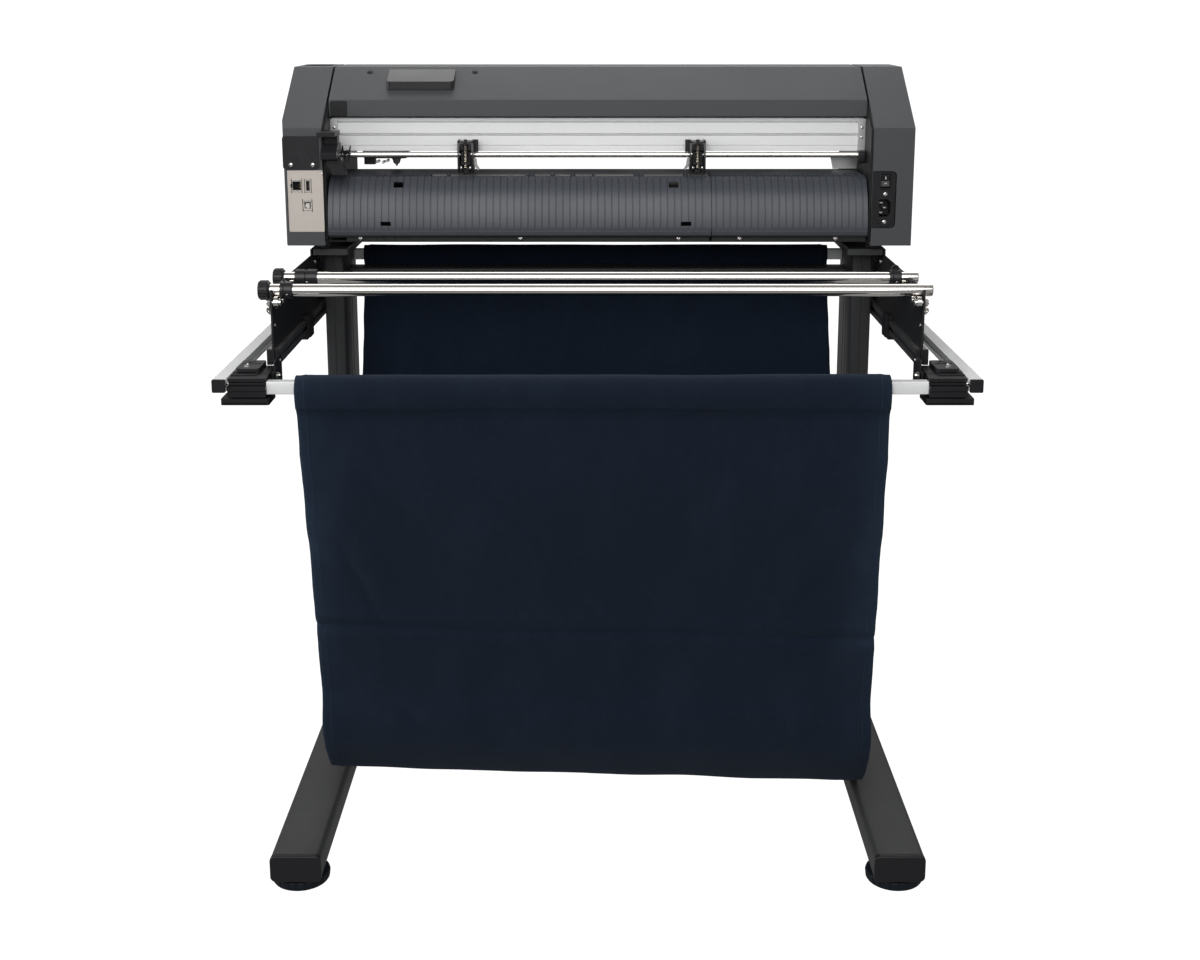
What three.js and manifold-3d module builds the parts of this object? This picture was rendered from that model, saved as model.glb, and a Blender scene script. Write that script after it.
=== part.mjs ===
// Floor-standing vinyl cutter: stand, roll holder, media basket and cutting unit.
// Millimetres, +Z up, +X along the beam, -Y towards the roll holder side.
// The origin is on the floor, under the middle of the machine.
import * as THREE from 'three';
import { mergeVertices } from 'three/addons/utils/BufferGeometryUtils.js';
import Module from 'manifold-3d';

const wasm = await Module();
wasm.setup();

// ---- driving dimensions -------------------------------------------------------------
const GAP = 0.3;                 // clearance between pieces that touch
const BODY_HALF = 450;           // half the width over the end covers
const OPEN_HALF = 392;           // half the opening between the end covers
const REAR_Y = 30;               // rear face of the end covers
const BOTTOM_Z = 791;            // underside of the end covers
const CREASE_Z = 959;            // where the rear face turns into the slope
const TOP_Z = 1040;
const WALL = 3;                  // moulded cover wall

const LEG = { half: 33, x: 392, length: 740, bottom: 16, top: 52, lowEdge: 3, topEdge: 7 };
const COLUMN = { inner: 377, outer: 406, rear: 90, front: 216, top: 773.7 };
const BRACKET = { inner: 362, outer: 415, rear: 49, front: 300, bottom: 774, top: 783 };
const POST = { radius: 9, x: 400, rearY: 75, frontY: 270 };
const TIE = { rear: 150, front: 190, bottom: 727, top: 739 };
const REAR_BAR = { rear: 196, front: 212, bottom: 745, top: 761 };
const FOOT = { radius: 38, height: 14, stem: 5, stemTop: 42, hole: 5.5, y: 330 };

const PLATE = { inner: 415.3, outer: 417.8, rear: -245, front: 190, bottom: 696.3, top: 774 };
const ARM_BAR = { inner: 409.5, outer: 425.5, rear: -245, front: 216, bottom: 676, top: 696 };
const RAIL = { inner: 460, outer: 476, rear: -333, front: 160, bottom: 661, top: 677 };
const FRONT_BAR = { half: 411.7, rear: -318, front: -302, bottom: 655, top: 671 };

const ROLLER = { radius: 8, z: 772, nearY: -232, farY: -135, left: -419, right: 429 };
const KNOB = { radius: 12.8, length: 15, edge: 1.5 };
const NOTCH_RADIUS = 9;
const COLLAR = { radius: 11.5, clearance: 0.4, edge: 1 };
const COLLARS = [
  { name: 'collar_outer_left', x: [-406, -390], y: ROLLER.nearY },
  { name: 'collar_inner_left', x: [-405, -375], y: ROLLER.farY },
  { name: 'collar_inner_right', x: [390, 406], y: ROLLER.farY },
];

const PLATEN = { top: 888, rearTopY: 74, frontTopY: 163, lipZ: 811, seamX: 163, half: 387.5 };
const GRIT = { y: 80, z: 878.5, shaft: 6, roller: 10, left: -386, right: 399 };
const SHAFT = { y: 84, z: 916.5, radius: 4, half: 386 };
const BEAM = { rear: 95, front: 150, bottom: 921, top: 969, half: 387.5 };
const UNIT_X = { left: -191, right: 144 };

// Grit rollers: where each one starts and ends along the shaft.
const GRIT_ROLLERS = [
  [-241, -219], [-214, -105], [-92, -69], [-62, -40], [-33, -9], [-5, 52], [67, 124], [131, 160],
];

// ---- materials ----------------------------------------------------------------------
const finish = (color, roughness, metalness = 0) =>
  new THREE.MeshStandardMaterial({ color, roughness, metalness });
const coverGrey = finish(0x3c3e40, 0.55);
const standBlack = finish(0x232425, 0.6);
const plateBlack = finish(0x0e0e10, 0.5);
const plasticBlack = finish(0x161618, 0.45);
const aluminium = finish(0xd8dadc, 0.35, 1);
const chrome = finish(0xe8e6e2, 0.08, 1);
const steel = finish(0xb8b4ac, 0.35, 1);
const platenBlue = finish(0x2a2d33, 0.45);
const canvasNavy = finish(0x141c2a, 0.9);
const boardGreen = finish(0x1f5a34, 0.6);
const rubberGrey = finish(0x2a2a2a, 0.9);

// ---- geometry helpers ---------------------------------------------------------------
/** Box between two corners. */
function block([x0, x1], [y0, y1], [z0, z1]) {
  const g = new THREE.BoxGeometry(x1 - x0, y1 - y0, z1 - z0);
  g.translate((x0 + x1) / 2, (y0 + y1) / 2, (z0 + z1) / 2);
  return g;
}

/** Prism of a closed YZ outline between two X planes. */
function prismX(points, x0, x1) {
  const shape = new THREE.Shape(points.map(([y, z]) => new THREE.Vector2(y, z)));
  const g = new THREE.ExtrudeGeometry(shape, { depth: x1 - x0, bevelEnabled: false });
  const turn = new THREE.Matrix4().set(0, 0, 1, x0, 1, 0, 0, 0, 0, 1, 0, 0, 0, 0, 0, 1);
  g.applyMatrix4(turn);
  return g;
}

/** Prism of a closed XZ outline between two Y planes. */
function prismY(points, y0, y1) {
  const shape = new THREE.Shape(points.map(([x, z]) => new THREE.Vector2(x, z)));
  const g = new THREE.ExtrudeGeometry(shape, { depth: y1 - y0, bevelEnabled: false });
  g.rotateX(Math.PI / 2);
  g.translate(0, y1, 0);
  return g;
}

/** Cylinder along X, centred on (y, z). */
function rodX(radius, x0, x1, y, z, sides = 20) {
  const g = new THREE.CylinderGeometry(radius, radius, x1 - x0, sides);
  g.rotateZ(Math.PI / 2);
  g.translate((x0 + x1) / 2, y, z);
  return g;
}

/** Cylinder along Z, centred on (x, y). */
function rodZ(radius, z0, z1, x, y, sides = 20) {
  const g = new THREE.CylinderGeometry(radius, radius, z1 - z0, sides);
  g.rotateX(Math.PI / 2);
  g.translate(x, y, (z0 + z1) / 2);
  return g;
}

/** Turned piece along X: profile points are [x, radius] from the left end to the right end. */
function turnedX(profile, y, z, sides = 20) {
  const g = new THREE.LatheGeometry(profile.map(([x, r]) => new THREE.Vector2(r, x)), sides);
  g.rotateZ(-Math.PI / 2);
  g.translate(0, y, z);
  return g;
}

/** Turned piece along Z: profile points are [z, radius] from the bottom to the top. */
function turnedZ(profile, x, y, sides = 20) {
  const g = new THREE.LatheGeometry(profile.map(([z, r]) => new THREE.Vector2(r, z)), sides);
  g.rotateX(Math.PI / 2);
  g.translate(x, y, 0);
  return g;
}

function toSolid(geometry) {
  const bare = new THREE.BufferGeometry();
  bare.setAttribute('position', geometry.getAttribute('position'));
  if (geometry.index) bare.setIndex(geometry.index);
  const merged = mergeVertices(bare, 1e-4);
  return new wasm.Manifold(new wasm.Mesh({
    numProp: 3,
    vertProperties: new Float32Array(merged.getAttribute('position').array),
    triVerts: new Uint32Array(merged.index.array),
  }));
}

function fromSolid(solid) {
  const mesh = solid.getMesh();
  const g = new THREE.BufferGeometry();
  g.setAttribute('position', new THREE.BufferAttribute(new Float32Array(mesh.vertProperties), 3));
  g.setIndex(new THREE.BufferAttribute(new Uint32Array(mesh.triVerts), 1));
  const flat = g.toNonIndexed();
  flat.computeVertexNormals();
  return flat;
}

const join = (...parts) => fromSolid(parts.map(toSolid).reduce((a, b) => a.add(b)));
const cut = (base, ...tools) =>
  fromSolid(tools.map(toSolid).reduce((a, b) => a.subtract(b), toSolid(base)));

/** Moves every corner of a closed outline inwards by a distance. */
function inset(points, distance) {
  const count = points.length;
  const area = points.reduce((sum, [y, z], i) => {
    const [y2, z2] = points[(i + 1) % count];
    return sum + y * z2 - y2 * z;
  }, 0);
  const side = Math.sign(area);
  return points.map((point, i) => {
    const before = points[(i + count - 1) % count];
    const after = points[(i + 1) % count];
    const a = new THREE.Vector2(point[0] - before[0], point[1] - before[1]).normalize();
    const b = new THREE.Vector2(after[0] - point[0], after[1] - point[1]).normalize();
    const na = new THREE.Vector2(-a.y, a.x).multiplyScalar(side);
    const nb = new THREE.Vector2(-b.y, b.x).multiplyScalar(side);
    const mid = na.clone().add(nb);
    const scale = (2 * distance) / mid.lengthSq();
    return [point[0] + mid.x * scale, point[1] + mid.y * scale];
  });
}

/** Closed outline of a sheet that follows an open line, with its thickness on the left side. */
function sheetOutline(line, thickness) {
  const shifted = line.map((point, i) => {
    const before = line[Math.max(i - 1, 0)];
    const after = line[Math.min(i + 1, line.length - 1)];
    const a = new THREE.Vector2(point[0] - before[0], point[1] - before[1]).normalize();
    const b = new THREE.Vector2(after[0] - point[0], after[1] - point[1]).normalize();
    const na = i === 0 ? new THREE.Vector2(-b.y, b.x) : new THREE.Vector2(-a.y, a.x);
    const nb = i === line.length - 1 ? na.clone() : new THREE.Vector2(-b.y, b.x);
    const mid = na.clone().add(nb);
    const scale = (2 * thickness) / mid.lengthSq();
    return [point[0] + mid.x * scale, point[1] + mid.y * scale];
  });
  return [...line, ...shifted.reverse()];
}

/** Points of an elliptical arc, angles in degrees. */
function arc(cy, cz, ry, rz, from, to, steps) {
  return Array.from({ length: steps + 1 }, (_, i) => {
    const angle = THREE.MathUtils.degToRad(from + ((to - from) * i) / steps);
    return [cy + ry * Math.cos(angle), cz + rz * Math.sin(angle)];
  });
}

const machine = new THREE.Group();

function add(name, geometry, material) {
  const mesh = new THREE.Mesh(geometry, material);
  mesh.name = name;
  machine.add(mesh);
  return mesh;
}

const SIDES = [['left', -1], ['right', 1]];
/** X span on one side of the machine, from distances off its middle plane. */
const span = (side, inner, outer) => (side < 0 ? [-outer, -inner] : [inner, outer]);

// ---- stand --------------------------------------------------------------------------
function buildLeg(side) {
  const { half, x, length, bottom, top, lowEdge, topEdge } = LEG;
  const outline = [
    [-half, bottom + lowEdge], [-half + lowEdge, bottom],
    [half - lowEdge, bottom], [half, bottom + lowEdge],
    ...arc(half - topEdge, top - topEdge, topEdge, topEdge, 0, 90, 2),
    ...arc(-half + topEdge, top - topEdge, topEdge, topEdge, 90, 180, 2),
  ].map(([px, pz]) => [px + side * x, pz]);
  const beam = prismY(outline, -length / 2, length / 2);
  const holes = [-FOOT.y, FOOT.y].map((y) =>
    rodZ(FOOT.hole, bottom - 1, FOOT.stemTop + 2, side * x, y, 12));
  return cut(beam, ...holes);
}

function buildFoot(x, y) {
  const { radius, height, stem, stemTop } = FOOT;
  return turnedZ([
    [0, 0], [0, radius - 3], [3, radius], [height - 3, radius], [height, radius - 4],
    [height, stem], [stemTop, stem], [stemTop, 0],
  ], x, y, 20);
}

for (const [name, side] of SIDES) {
  add(`base_leg_${name}`, buildLeg(side), standBlack);
  const columnX = span(side, COLUMN.inner, COLUMN.outer);
  const column = block(columnX, [COLUMN.rear, COLUMN.front], [LEG.top + GAP, COLUMN.top]);
  add(`column_${name}`, column, standBlack);
  const bracketX = span(side, BRACKET.inner, BRACKET.outer);
  const deck = block(bracketX, [BRACKET.rear, BRACKET.front], [BRACKET.bottom, BRACKET.top]);
  const posts = [POST.rearY, POST.frontY].map((y) =>
    rodZ(POST.radius, BRACKET.top - 1, BOTTOM_Z - GAP, side * POST.x, y, 12));
  add(`head_bracket_${name}`, join(deck, ...posts), standBlack);
  add(`foot_rear_${name}`, buildFoot(side * LEG.x, -FOOT.y), rubberGrey);
  add(`foot_front_${name}`, buildFoot(side * LEG.x, FOOT.y), rubberGrey);
}
const TIE_HALF = COLUMN.inner - GAP;
/** Bar across the stand, with the section given in a table of distances. */
const crossBar = (half, { rear, front, bottom, top }) =>
  block([-half, half], [rear, front], [bottom, top]);
add('stand_cross_tie', crossBar(TIE_HALF, TIE), standBlack);
add('basket_rear_bar', crossBar(TIE_HALF, REAR_BAR), aluminium);

// ---- roll holder --------------------------------------------------------------------
function buildRollerPlate(side) {
  const { inner, outer, rear, front, bottom, top } = PLATE;
  const notch = (y) => [
    [y - NOTCH_RADIUS, top],
    ...arc(y, ROLLER.z, NOTCH_RADIUS, NOTCH_RADIUS, 180, 360, 8),
    [y + NOTCH_RADIUS, top],
  ];
  const outline = [
    [rear, bottom], [rear, top], ...notch(ROLLER.nearY), ...notch(ROLLER.farY),
    [BRACKET.rear, top], [BRACKET.rear, BRACKET.top], [front, BRACKET.top], [front, bottom],
  ];
  return prismX(outline, ...span(side, inner, outer));
}

function buildRoller(y) {
  const { radius, left, right, z } = ROLLER;
  const knobEnd = left - KNOB.length;
  const shaft = turnedX([
    [left - 1, 0], [left - 1, radius], [right - 1, radius], [right, radius - 1], [right, 0],
  ], y, z, 24);
  const knob = turnedX([
    [knobEnd, 0], [knobEnd, KNOB.radius - KNOB.edge], [knobEnd + KNOB.edge, KNOB.radius],
    [left - KNOB.edge, KNOB.radius], [left, KNOB.radius - KNOB.edge], [left, 0],
  ], y, z, 24);
  return join(shaft, knob);
}

function buildCollar([x0, x1], y) {
  const { radius, clearance, edge } = COLLAR;
  const bore = ROLLER.radius + clearance;
  return turnedX([
    [x0, bore], [x0, radius - edge], [x0 + edge, radius], [x1 - edge, radius],
    [x1, radius - edge], [x1, bore], [x0, bore],
  ], y, ROLLER.z, 24);
}

for (const [name, side] of SIDES) {
  add(`roller_plate_${name}`, buildRollerPlate(side), plateBlack);
  const bar = block(span(side, ARM_BAR.inner, ARM_BAR.outer),
    [ARM_BAR.rear, ARM_BAR.front], [ARM_BAR.bottom, ARM_BAR.top]);
  add(`arm_bar_${name}`, bar, aluminium);
}
add('media_roller_outer', buildRoller(ROLLER.nearY), chrome);
add('media_roller_inner', buildRoller(ROLLER.farY), chrome);
for (const { name, x, y } of COLLARS) add(name, buildCollar(x, y), plasticBlack);

// ---- basket -------------------------------------------------------------------------
const SLIDE_BLOCK = {
  body: { inner: 412, outer: 459.7, y: [-325, -240], z: [643, 675.5] },
  plate: { inner: 408, outer: 468, y: [-325, -280], z: [643, 651] },
  shoe: { inner: 426.2, outer: 456, y: [-290, -240], z: [675, 683] },
  cheekFoot: { inner: 406.8, outer: 412.5, y: [-282, -240], z: [655, 675.5] },
  cheek: { inner: 406.8, outer: 409.1, y: [-282, -240], z: [670, 691] },
};

function buildSlideBlock(side) {
  return join(...Object.values(SLIDE_BLOCK).map(({ inner, outer, y, z }) =>
    block(span(side, inner, outer), y, z)));
}

for (const [name, side] of SIDES) {
  add(`slide_block_${name}`, buildSlideBlock(side), plasticBlack);
  const rail = block(span(side, RAIL.inner, RAIL.outer),
    [RAIL.rear, RAIL.front], [RAIL.bottom, RAIL.top]);
  add(`outer_rail_${name}`, rail, aluminium);
}
add('basket_front_bar', crossBar(FRONT_BAR.half, FRONT_BAR), aluminium);

// The cloth hangs in a deep U between the two bars. The line is its outer face.
const CLOTH_HALF = 362;
const CLOTH_THICKNESS = 5;
const CLOTH_LINE = [
  [-318, 654.6], [-315, 530], [-281, 371], [-264, 273], [-260, 191], [-234, 122], [-194, 82],
  [-140, 64], [-90, 60], [-40, 76], [30, 140], [88, 290], [128, 430], [162, 567], [206, 742],
];
add('basket_cloth', prismX(sheetOutline(CLOTH_LINE, CLOTH_THICKNESS), -CLOTH_HALF, CLOTH_HALF),
  canvasNavy);

// ---- covers and frame of the cutting unit -------------------------------------------
const SLOPE_TOP = 155;
const TOP_FRONT_Y = 262;
const FRONT_Y = 352;
const SLOPE_FOOT_Z = 984;
const COVER_OUTLINE = [
  [REAR_Y, BOTTOM_Z], [REAR_Y, CREASE_Z], [SLOPE_TOP, TOP_Z], [TOP_FRONT_Y, TOP_Z],
  [FRONT_Y, SLOPE_FOOT_Z], [FRONT_Y, 850], [318, BOTTOM_Z],
];
const FRAME = { inner: 389.2, outer: 391.6, inset: 8, bearingHole: 8 };
const IO_WINDOW = { inner: 391, outer: 443.3, bottom: 810.7, top: 899.3 };
const POWER_WINDOW = { inner: 391, outer: 426, bottom: 816, top: 898 };

const FRONT_SLOPE = Math.atan2(TOP_Z - SLOPE_FOOT_Z, FRONT_Y - TOP_FRONT_Y);
const KEY = { radius: 5, hole: 5.4, length: 7, proud: 1.8, spread: 15 };
const KEY_CENTRE = { x: -421, y: 307, z: 1012 };
const KEYS = [['up', 0, 1], ['down', 0, -1], ['left', -1, 0], ['right', 1, 0]];

/** Places a piece that is drawn along Z so that it points out of the front slope. */
function onSlope(geometry, across, along) {
  geometry.translate(across * KEY.spread, -along * KEY.spread, 0);
  geometry.rotateX(-FRONT_SLOPE);
  geometry.translate(KEY_CENTRE.x, KEY_CENTRE.y, KEY_CENTRE.z);
  return geometry;
}

function buildEndCover(side) {
  const shell = prismX(COVER_OUTLINE, ...span(side, OPEN_HALF, BODY_HALF));
  const cavity = prismX(inset(COVER_OUTLINE, WALL), ...span(side, OPEN_HALF - 1, BODY_HALF - WALL));
  const window = side < 0 ? IO_WINDOW : POWER_WINDOW;
  const opening = block(span(side, window.inner, window.outer), [REAR_Y - 1, REAR_Y + WALL + 1],
    [window.bottom, window.top]);
  const keyHoles = side > 0 ? [] : KEYS.map(([, across, along]) =>
    onSlope(rodZ(KEY.hole, -KEY.length, KEY.length, 0, 0, 16), across, along));
  return cut(shell, cavity, opening, ...keyHoles);
}

for (const [name, side] of SIDES) {
  add(`end_cover_${name}`, buildEndCover(side), coverGrey);
  const frameX = span(side, FRAME.inner, FRAME.outer);
  const frame = prismX(inset(COVER_OUTLINE, FRAME.inset), ...frameX);
  const shaftHole = rodX(FRAME.bearingHole, FRAME.inner - 1, FRAME.outer + 1, GRIT.y, GRIT.z, 16);
  add(`side_frame_${name}`, side > 0 ? cut(frame, shaftHole) : frame, standBlack);
}
for (const [name, across, along] of KEYS) {
  const key = onSlope(rodZ(KEY.radius, KEY.proud - KEY.length, KEY.proud, 0, 0, 16), across, along);
  add(`key_${name}`, key, plasticBlack);
}

// The top cover is one bent sheet between the end covers.
const COVER_HALF = FRAME.inner - GAP;
const BAND_Y = 85;
const BAND_TOP = CREASE_Z + ((BAND_Y - REAR_Y) * (TOP_Z - CREASE_Z)) / (SLOPE_TOP - REAR_Y);
const COVER_SHEET = 2.5;
const TOP_LINE = [
  [BAND_Y, 971], [BAND_Y, BAND_TOP], [SLOPE_TOP, TOP_Z], [TOP_FRONT_Y, TOP_Z],
  [FRONT_Y, SLOPE_FOOT_Z], [FRONT_Y, 940],
];
add('top_cover', prismX(sheetOutline([...TOP_LINE].reverse(), COVER_SHEET),
  -COVER_HALF, COVER_HALF), coverGrey);

const PAN = { half: PLATEN.half, rear: 46, front: 306, bottom: 794, top: 797 };
add('base_pan', crossBar(PAN.half, PAN), standBlack);
const GROOVE = { depth: 2, half: 1, heights: [962, 945] };
const beamGroove = (z) => block([-BEAM.half - 1, BEAM.half + 1],
  [BEAM.rear - 1, BEAM.rear + GROOVE.depth], [z - GROOVE.half, z + GROOVE.half]);
add('main_beam', cut(crossBar(BEAM.half, BEAM), ...GROOVE.heights.map(beamGroove)), aluminium);

// ---- platen -------------------------------------------------------------------------
const PLATEN_REAR = [
  [34, 803], [REAR_Y, 806], ...arc(PLATEN.rearTopY, PLATEN.lipZ, PLATEN.rearTopY - REAR_Y,
    PLATEN.top - PLATEN.lipZ, 180, 90, 9), [PLATEN.frontTopY, PLATEN.top],
];
const PLATEN_FRONT = [
  [168, 883.4], [212, 883.4], [300, 868], ...arc(300, 838, 42, 30, 70, 0, 5), [342, 834], [316, 804],
];

const GRIT_SLOT = { margin: 1.5, y: [68, 92], z: [876, 892] };

function buildPlatenRear(x0, x1) {
  const shell = prismX(sheetOutline([...PLATEN_REAR].reverse(), WALL), x0, x1);
  const slots = GRIT_ROLLERS.filter(([a, b]) => a > x0 && b < x1).map(([a, b]) =>
    block([a - GRIT_SLOT.margin, b + GRIT_SLOT.margin], GRIT_SLOT.y, GRIT_SLOT.z));
  return cut(shell, ...slots);
}
add('platen_rear_left', buildPlatenRear(-PLATEN.half, PLATEN.seamX), platenBlue);
add('platen_rear_right', buildPlatenRear(PLATEN.seamX + GAP, PLATEN.half), platenBlue);
add('platen_front', prismX(sheetOutline([...PLATEN_FRONT].reverse(), WALL),
  -PLATEN.half, PLATEN.half), platenBlue);

// ---- media drive --------------------------------------------------------------------
function buildGritShaft() {
  const steps = GRIT_ROLLERS.flatMap(([a, b]) =>
    [[a, GRIT.shaft], [a, GRIT.roller], [b, GRIT.roller], [b, GRIT.shaft]]);
  const profile = [
    [GRIT.left, 0], [GRIT.left, GRIT.shaft], ...steps, [GRIT.right, GRIT.shaft], [GRIT.right, 0],
  ];
  return turnedX(profile, GRIT.y, GRIT.z, 16);
}
add('grit_shaft', buildGritShaft(), steel);
const FEED_MOTOR = { radius: 19, x: [401, 444], y: 82 };
add('feed_motor', rodX(FEED_MOTOR.radius, ...FEED_MOTOR.x, FEED_MOTOR.y, GRIT.z, 20), plateBlack);

// ---- pinch rollers, lift shaft and lever --------------------------------------------
const WHEEL = { y: 80, z: 895.9, radius: 7, half: 4.3, axle: 1.8, axleHalf: 7.2 };
const HOUSING = {
  half: 12,
  slotHalf: 8,
  slotY: [50, 100],
  slotZ: [880, 930],
  shaftClearance: 0.7,
  outline: [[62, 895], [62, 935], [68, 942], [92, 942], [92, 905], [88, 895]],
};
const FORK = {
  half: 7.4,
  earInner: 4.8,
  rear: 63,
  webFront: 74,
  front: 87,
  earRear: 68,
  earBottom: 891,
  floor: 903.6,
  floorTop: 907.6,
  top: 925,
  axleClearance: 0.5,
};

function buildPinchHousing(x) {
  const { half, slotHalf, slotY, slotZ, shaftClearance, outline } = HOUSING;
  const body = prismX(outline, x - half, x + half);
  const slot = block([x - slotHalf, x + slotHalf], slotY, slotZ);
  const bore = rodX(SHAFT.radius + shaftClearance, x - half - 1, x + half + 1,
    SHAFT.y, SHAFT.z, 16);
  return cut(body, slot, bore);
}

function buildPinchFork(x) {
  const ends = [x - FORK.half, x + FORK.half];
  const earY = [FORK.earRear, FORK.front];
  const earZ = [FORK.earBottom, FORK.floor + 1];
  const fork = join(
    block(ends, [FORK.rear, FORK.webFront], [FORK.floor, FORK.top]),
    block(ends, [FORK.rear, FORK.front], [FORK.floor, FORK.floorTop]),
    block([x - FORK.half, x - FORK.earInner], earY, earZ),
    block([x + FORK.earInner, x + FORK.half], earY, earZ),
  );
  const bore = rodX(WHEEL.axle + FORK.axleClearance, ends[0] - 1, ends[1] + 1,
    WHEEL.y, WHEEL.z, 12);
  return cut(fork, bore);
}

function buildPinchWheel(x) {
  const { radius, half, axle, axleHalf, y, z } = WHEEL;
  return turnedX([
    [x - axleHalf, 0], [x - axleHalf, axle], [x - half, axle], [x - half, radius],
    [x + half, radius], [x + half, axle], [x + axleHalf, axle], [x + axleHalf, 0],
  ], y, z, 20);
}

for (const [name] of SIDES) {
  const x = UNIT_X[name];
  add(`pinch_housing_${name}`, buildPinchHousing(x), plasticBlack);
  add(`pinch_fork_${name}`, buildPinchFork(x), plasticBlack);
  add(`pinch_wheel_${name}`, buildPinchWheel(x), rubberGrey);
}
add('lift_shaft', rodX(SHAFT.radius, -SHAFT.half, SHAFT.half, SHAFT.y, SHAFT.z, 16), chrome);

const LEVER = {
  armX: [-385, -371],
  arm: [
    [20, 920], [20, 952], [58, 952], [58, 946], [34, 944], [34, 930], [72, 926], [94, 926],
    [94, 908], [72, 906], [40, 908],
  ],
  handleX: [-396, -370],
  handle: [[12, 920], [12, 954], [27, 954], [27, 914]],
  flange: { x: [-387.5, -370], y: [26, 58], z: [949, 954] },
  boreRadius: 4.4,
};

function buildLever() {
  const { armX, arm, handleX, handle, flange, boreRadius } = LEVER;
  const body = join(prismX(arm, ...armX), prismX(handle, ...handleX),
    block(flange.x, flange.y, flange.z));
  return cut(body, rodX(boreRadius, armX[0] - 1, armX[1] + 1, SHAFT.y, SHAFT.z, 16));
}
add('media_lever', buildLever(), plasticBlack);

// ---- cutting carriage ---------------------------------------------------------------
const CARRIAGE = [
  { x: [-352, -284], y: [150.5, 190], z: [905, 968] },   // body on the beam's rail
  { x: [-350, -334], y: [150.5, 168], z: [896, 906] },   // guide under the beam
  { x: [-330, -286], y: [189, 193], z: [915, 955] },     // plate that carries the holder
];
add('tool_carriage', join(...CARRIAGE.map(({ x, y, z }) => block(x, y, z))), plasticBlack);

const HOLDER = { x: -308, y: 203, radius: 9, cap: 7, tip: 2, tipZ: 888.8, top: 957 };
add('blade_holder', turnedZ([
  [HOLDER.tipZ, 0], [HOLDER.tipZ, HOLDER.tip], [896, 5], [900, HOLDER.radius],
  [945, HOLDER.radius], [945, HOLDER.cap], [HOLDER.top, HOLDER.cap], [HOLDER.top, 0],
], HOLDER.x, HOLDER.y, 20), aluminium);

const BELT = { half: 372, y: 128, inner: 10, outer: 11.4, bottom: 974, top: 983 };
function buildBeltLoop() {
  const ends = (radius) => [
    ...arc(BELT.half, BELT.y, radius, radius, -90, 90, 8),
    ...arc(-BELT.half, BELT.y, radius, radius, 90, 270, 8),
  ].map(([x, y]) => new THREE.Vector2(x, y));
  const shape = new THREE.Shape(ends(BELT.outer));
  shape.holes.push(new THREE.Path(ends(BELT.inner)));
  const g = new THREE.ExtrudeGeometry(shape, { depth: BELT.top - BELT.bottom, bevelEnabled: false });
  g.translate(0, 0, BELT.bottom);
  return g;
}
add('carriage_belt', buildBeltLoop(), rubberGrey);
const BELT_MOTOR = { radius: 17, bottom: 984.5, top: 1003, pulley: 9.6, pulleyBottom: 970 };
add('carriage_motor', turnedZ([
  [BELT_MOTOR.pulleyBottom, 0], [BELT_MOTOR.pulleyBottom, BELT_MOTOR.pulley],
  [BELT_MOTOR.bottom, BELT_MOTOR.pulley], [BELT_MOTOR.bottom, BELT_MOTOR.radius],
  [BELT_MOTOR.top, BELT_MOTOR.radius], [BELT_MOTOR.top, 0],
], -BELT.half + 1, BELT.y, 20), plateBlack);

// ---- electronics and rear sockets ---------------------------------------------------
const PORTS = [
  { x: -430, z: 877, half: [7.5, 9], pocket: [6, 5] },      // network
  { x: -414, z: 877, half: [3.5, 7.5], pocket: [2.4, 6.2] }, // data, host
  { x: -415.5, z: 849, half: [6, 6], pocket: [4.2, 4.2] },   // data, device
];
const PORT_Y = { face: 33, back: 54, floor: 49 };
const BOARD = { x: [-404, -402], front: 300, z: [806, 940], spineX: [-441, -402], spineZ: [838, 892] };

function buildBoard() {
  const shells = PORTS.map(({ x, z, half }) =>
    block([x - half[0], x + half[0]], [PORT_Y.face, PORT_Y.back + 1], [z - half[1], z + half[1]]));
  const pockets = PORTS.map(({ x, z, pocket }) =>
    block([x - pocket[0], x + pocket[0]], [PORT_Y.face - 1, PORT_Y.floor],
      [z - pocket[1], z + pocket[1]]));
  const spine = block(BOARD.spineX, [PORT_Y.back, PORT_Y.back + 2], BOARD.spineZ);
  const board = block(BOARD.x, [PORT_Y.back, BOARD.front], BOARD.z);
  return cut(join(board, spine, ...shells), ...pockets);
}
add('circuit_board', buildBoard(), boardGreen);

const IO_PANEL = { x: [-443, -392.3], y: [30.6, 32.6], z: [811, 899], margin: 0.5 };
function buildIoPanel() {
  const windows = PORTS.map(({ x, z, pocket: [halfX, halfZ] }) => block(
    [x - halfX - IO_PANEL.margin, x + halfX + IO_PANEL.margin],
    [IO_PANEL.y[0] - 1, IO_PANEL.y[1] + 1],
    [z - halfZ - IO_PANEL.margin, z + halfZ + IO_PANEL.margin],
  ));
  return cut(block(IO_PANEL.x, IO_PANEL.y, IO_PANEL.z), ...windows);
}
add('io_panel', buildIoPanel(), steel);

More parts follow.
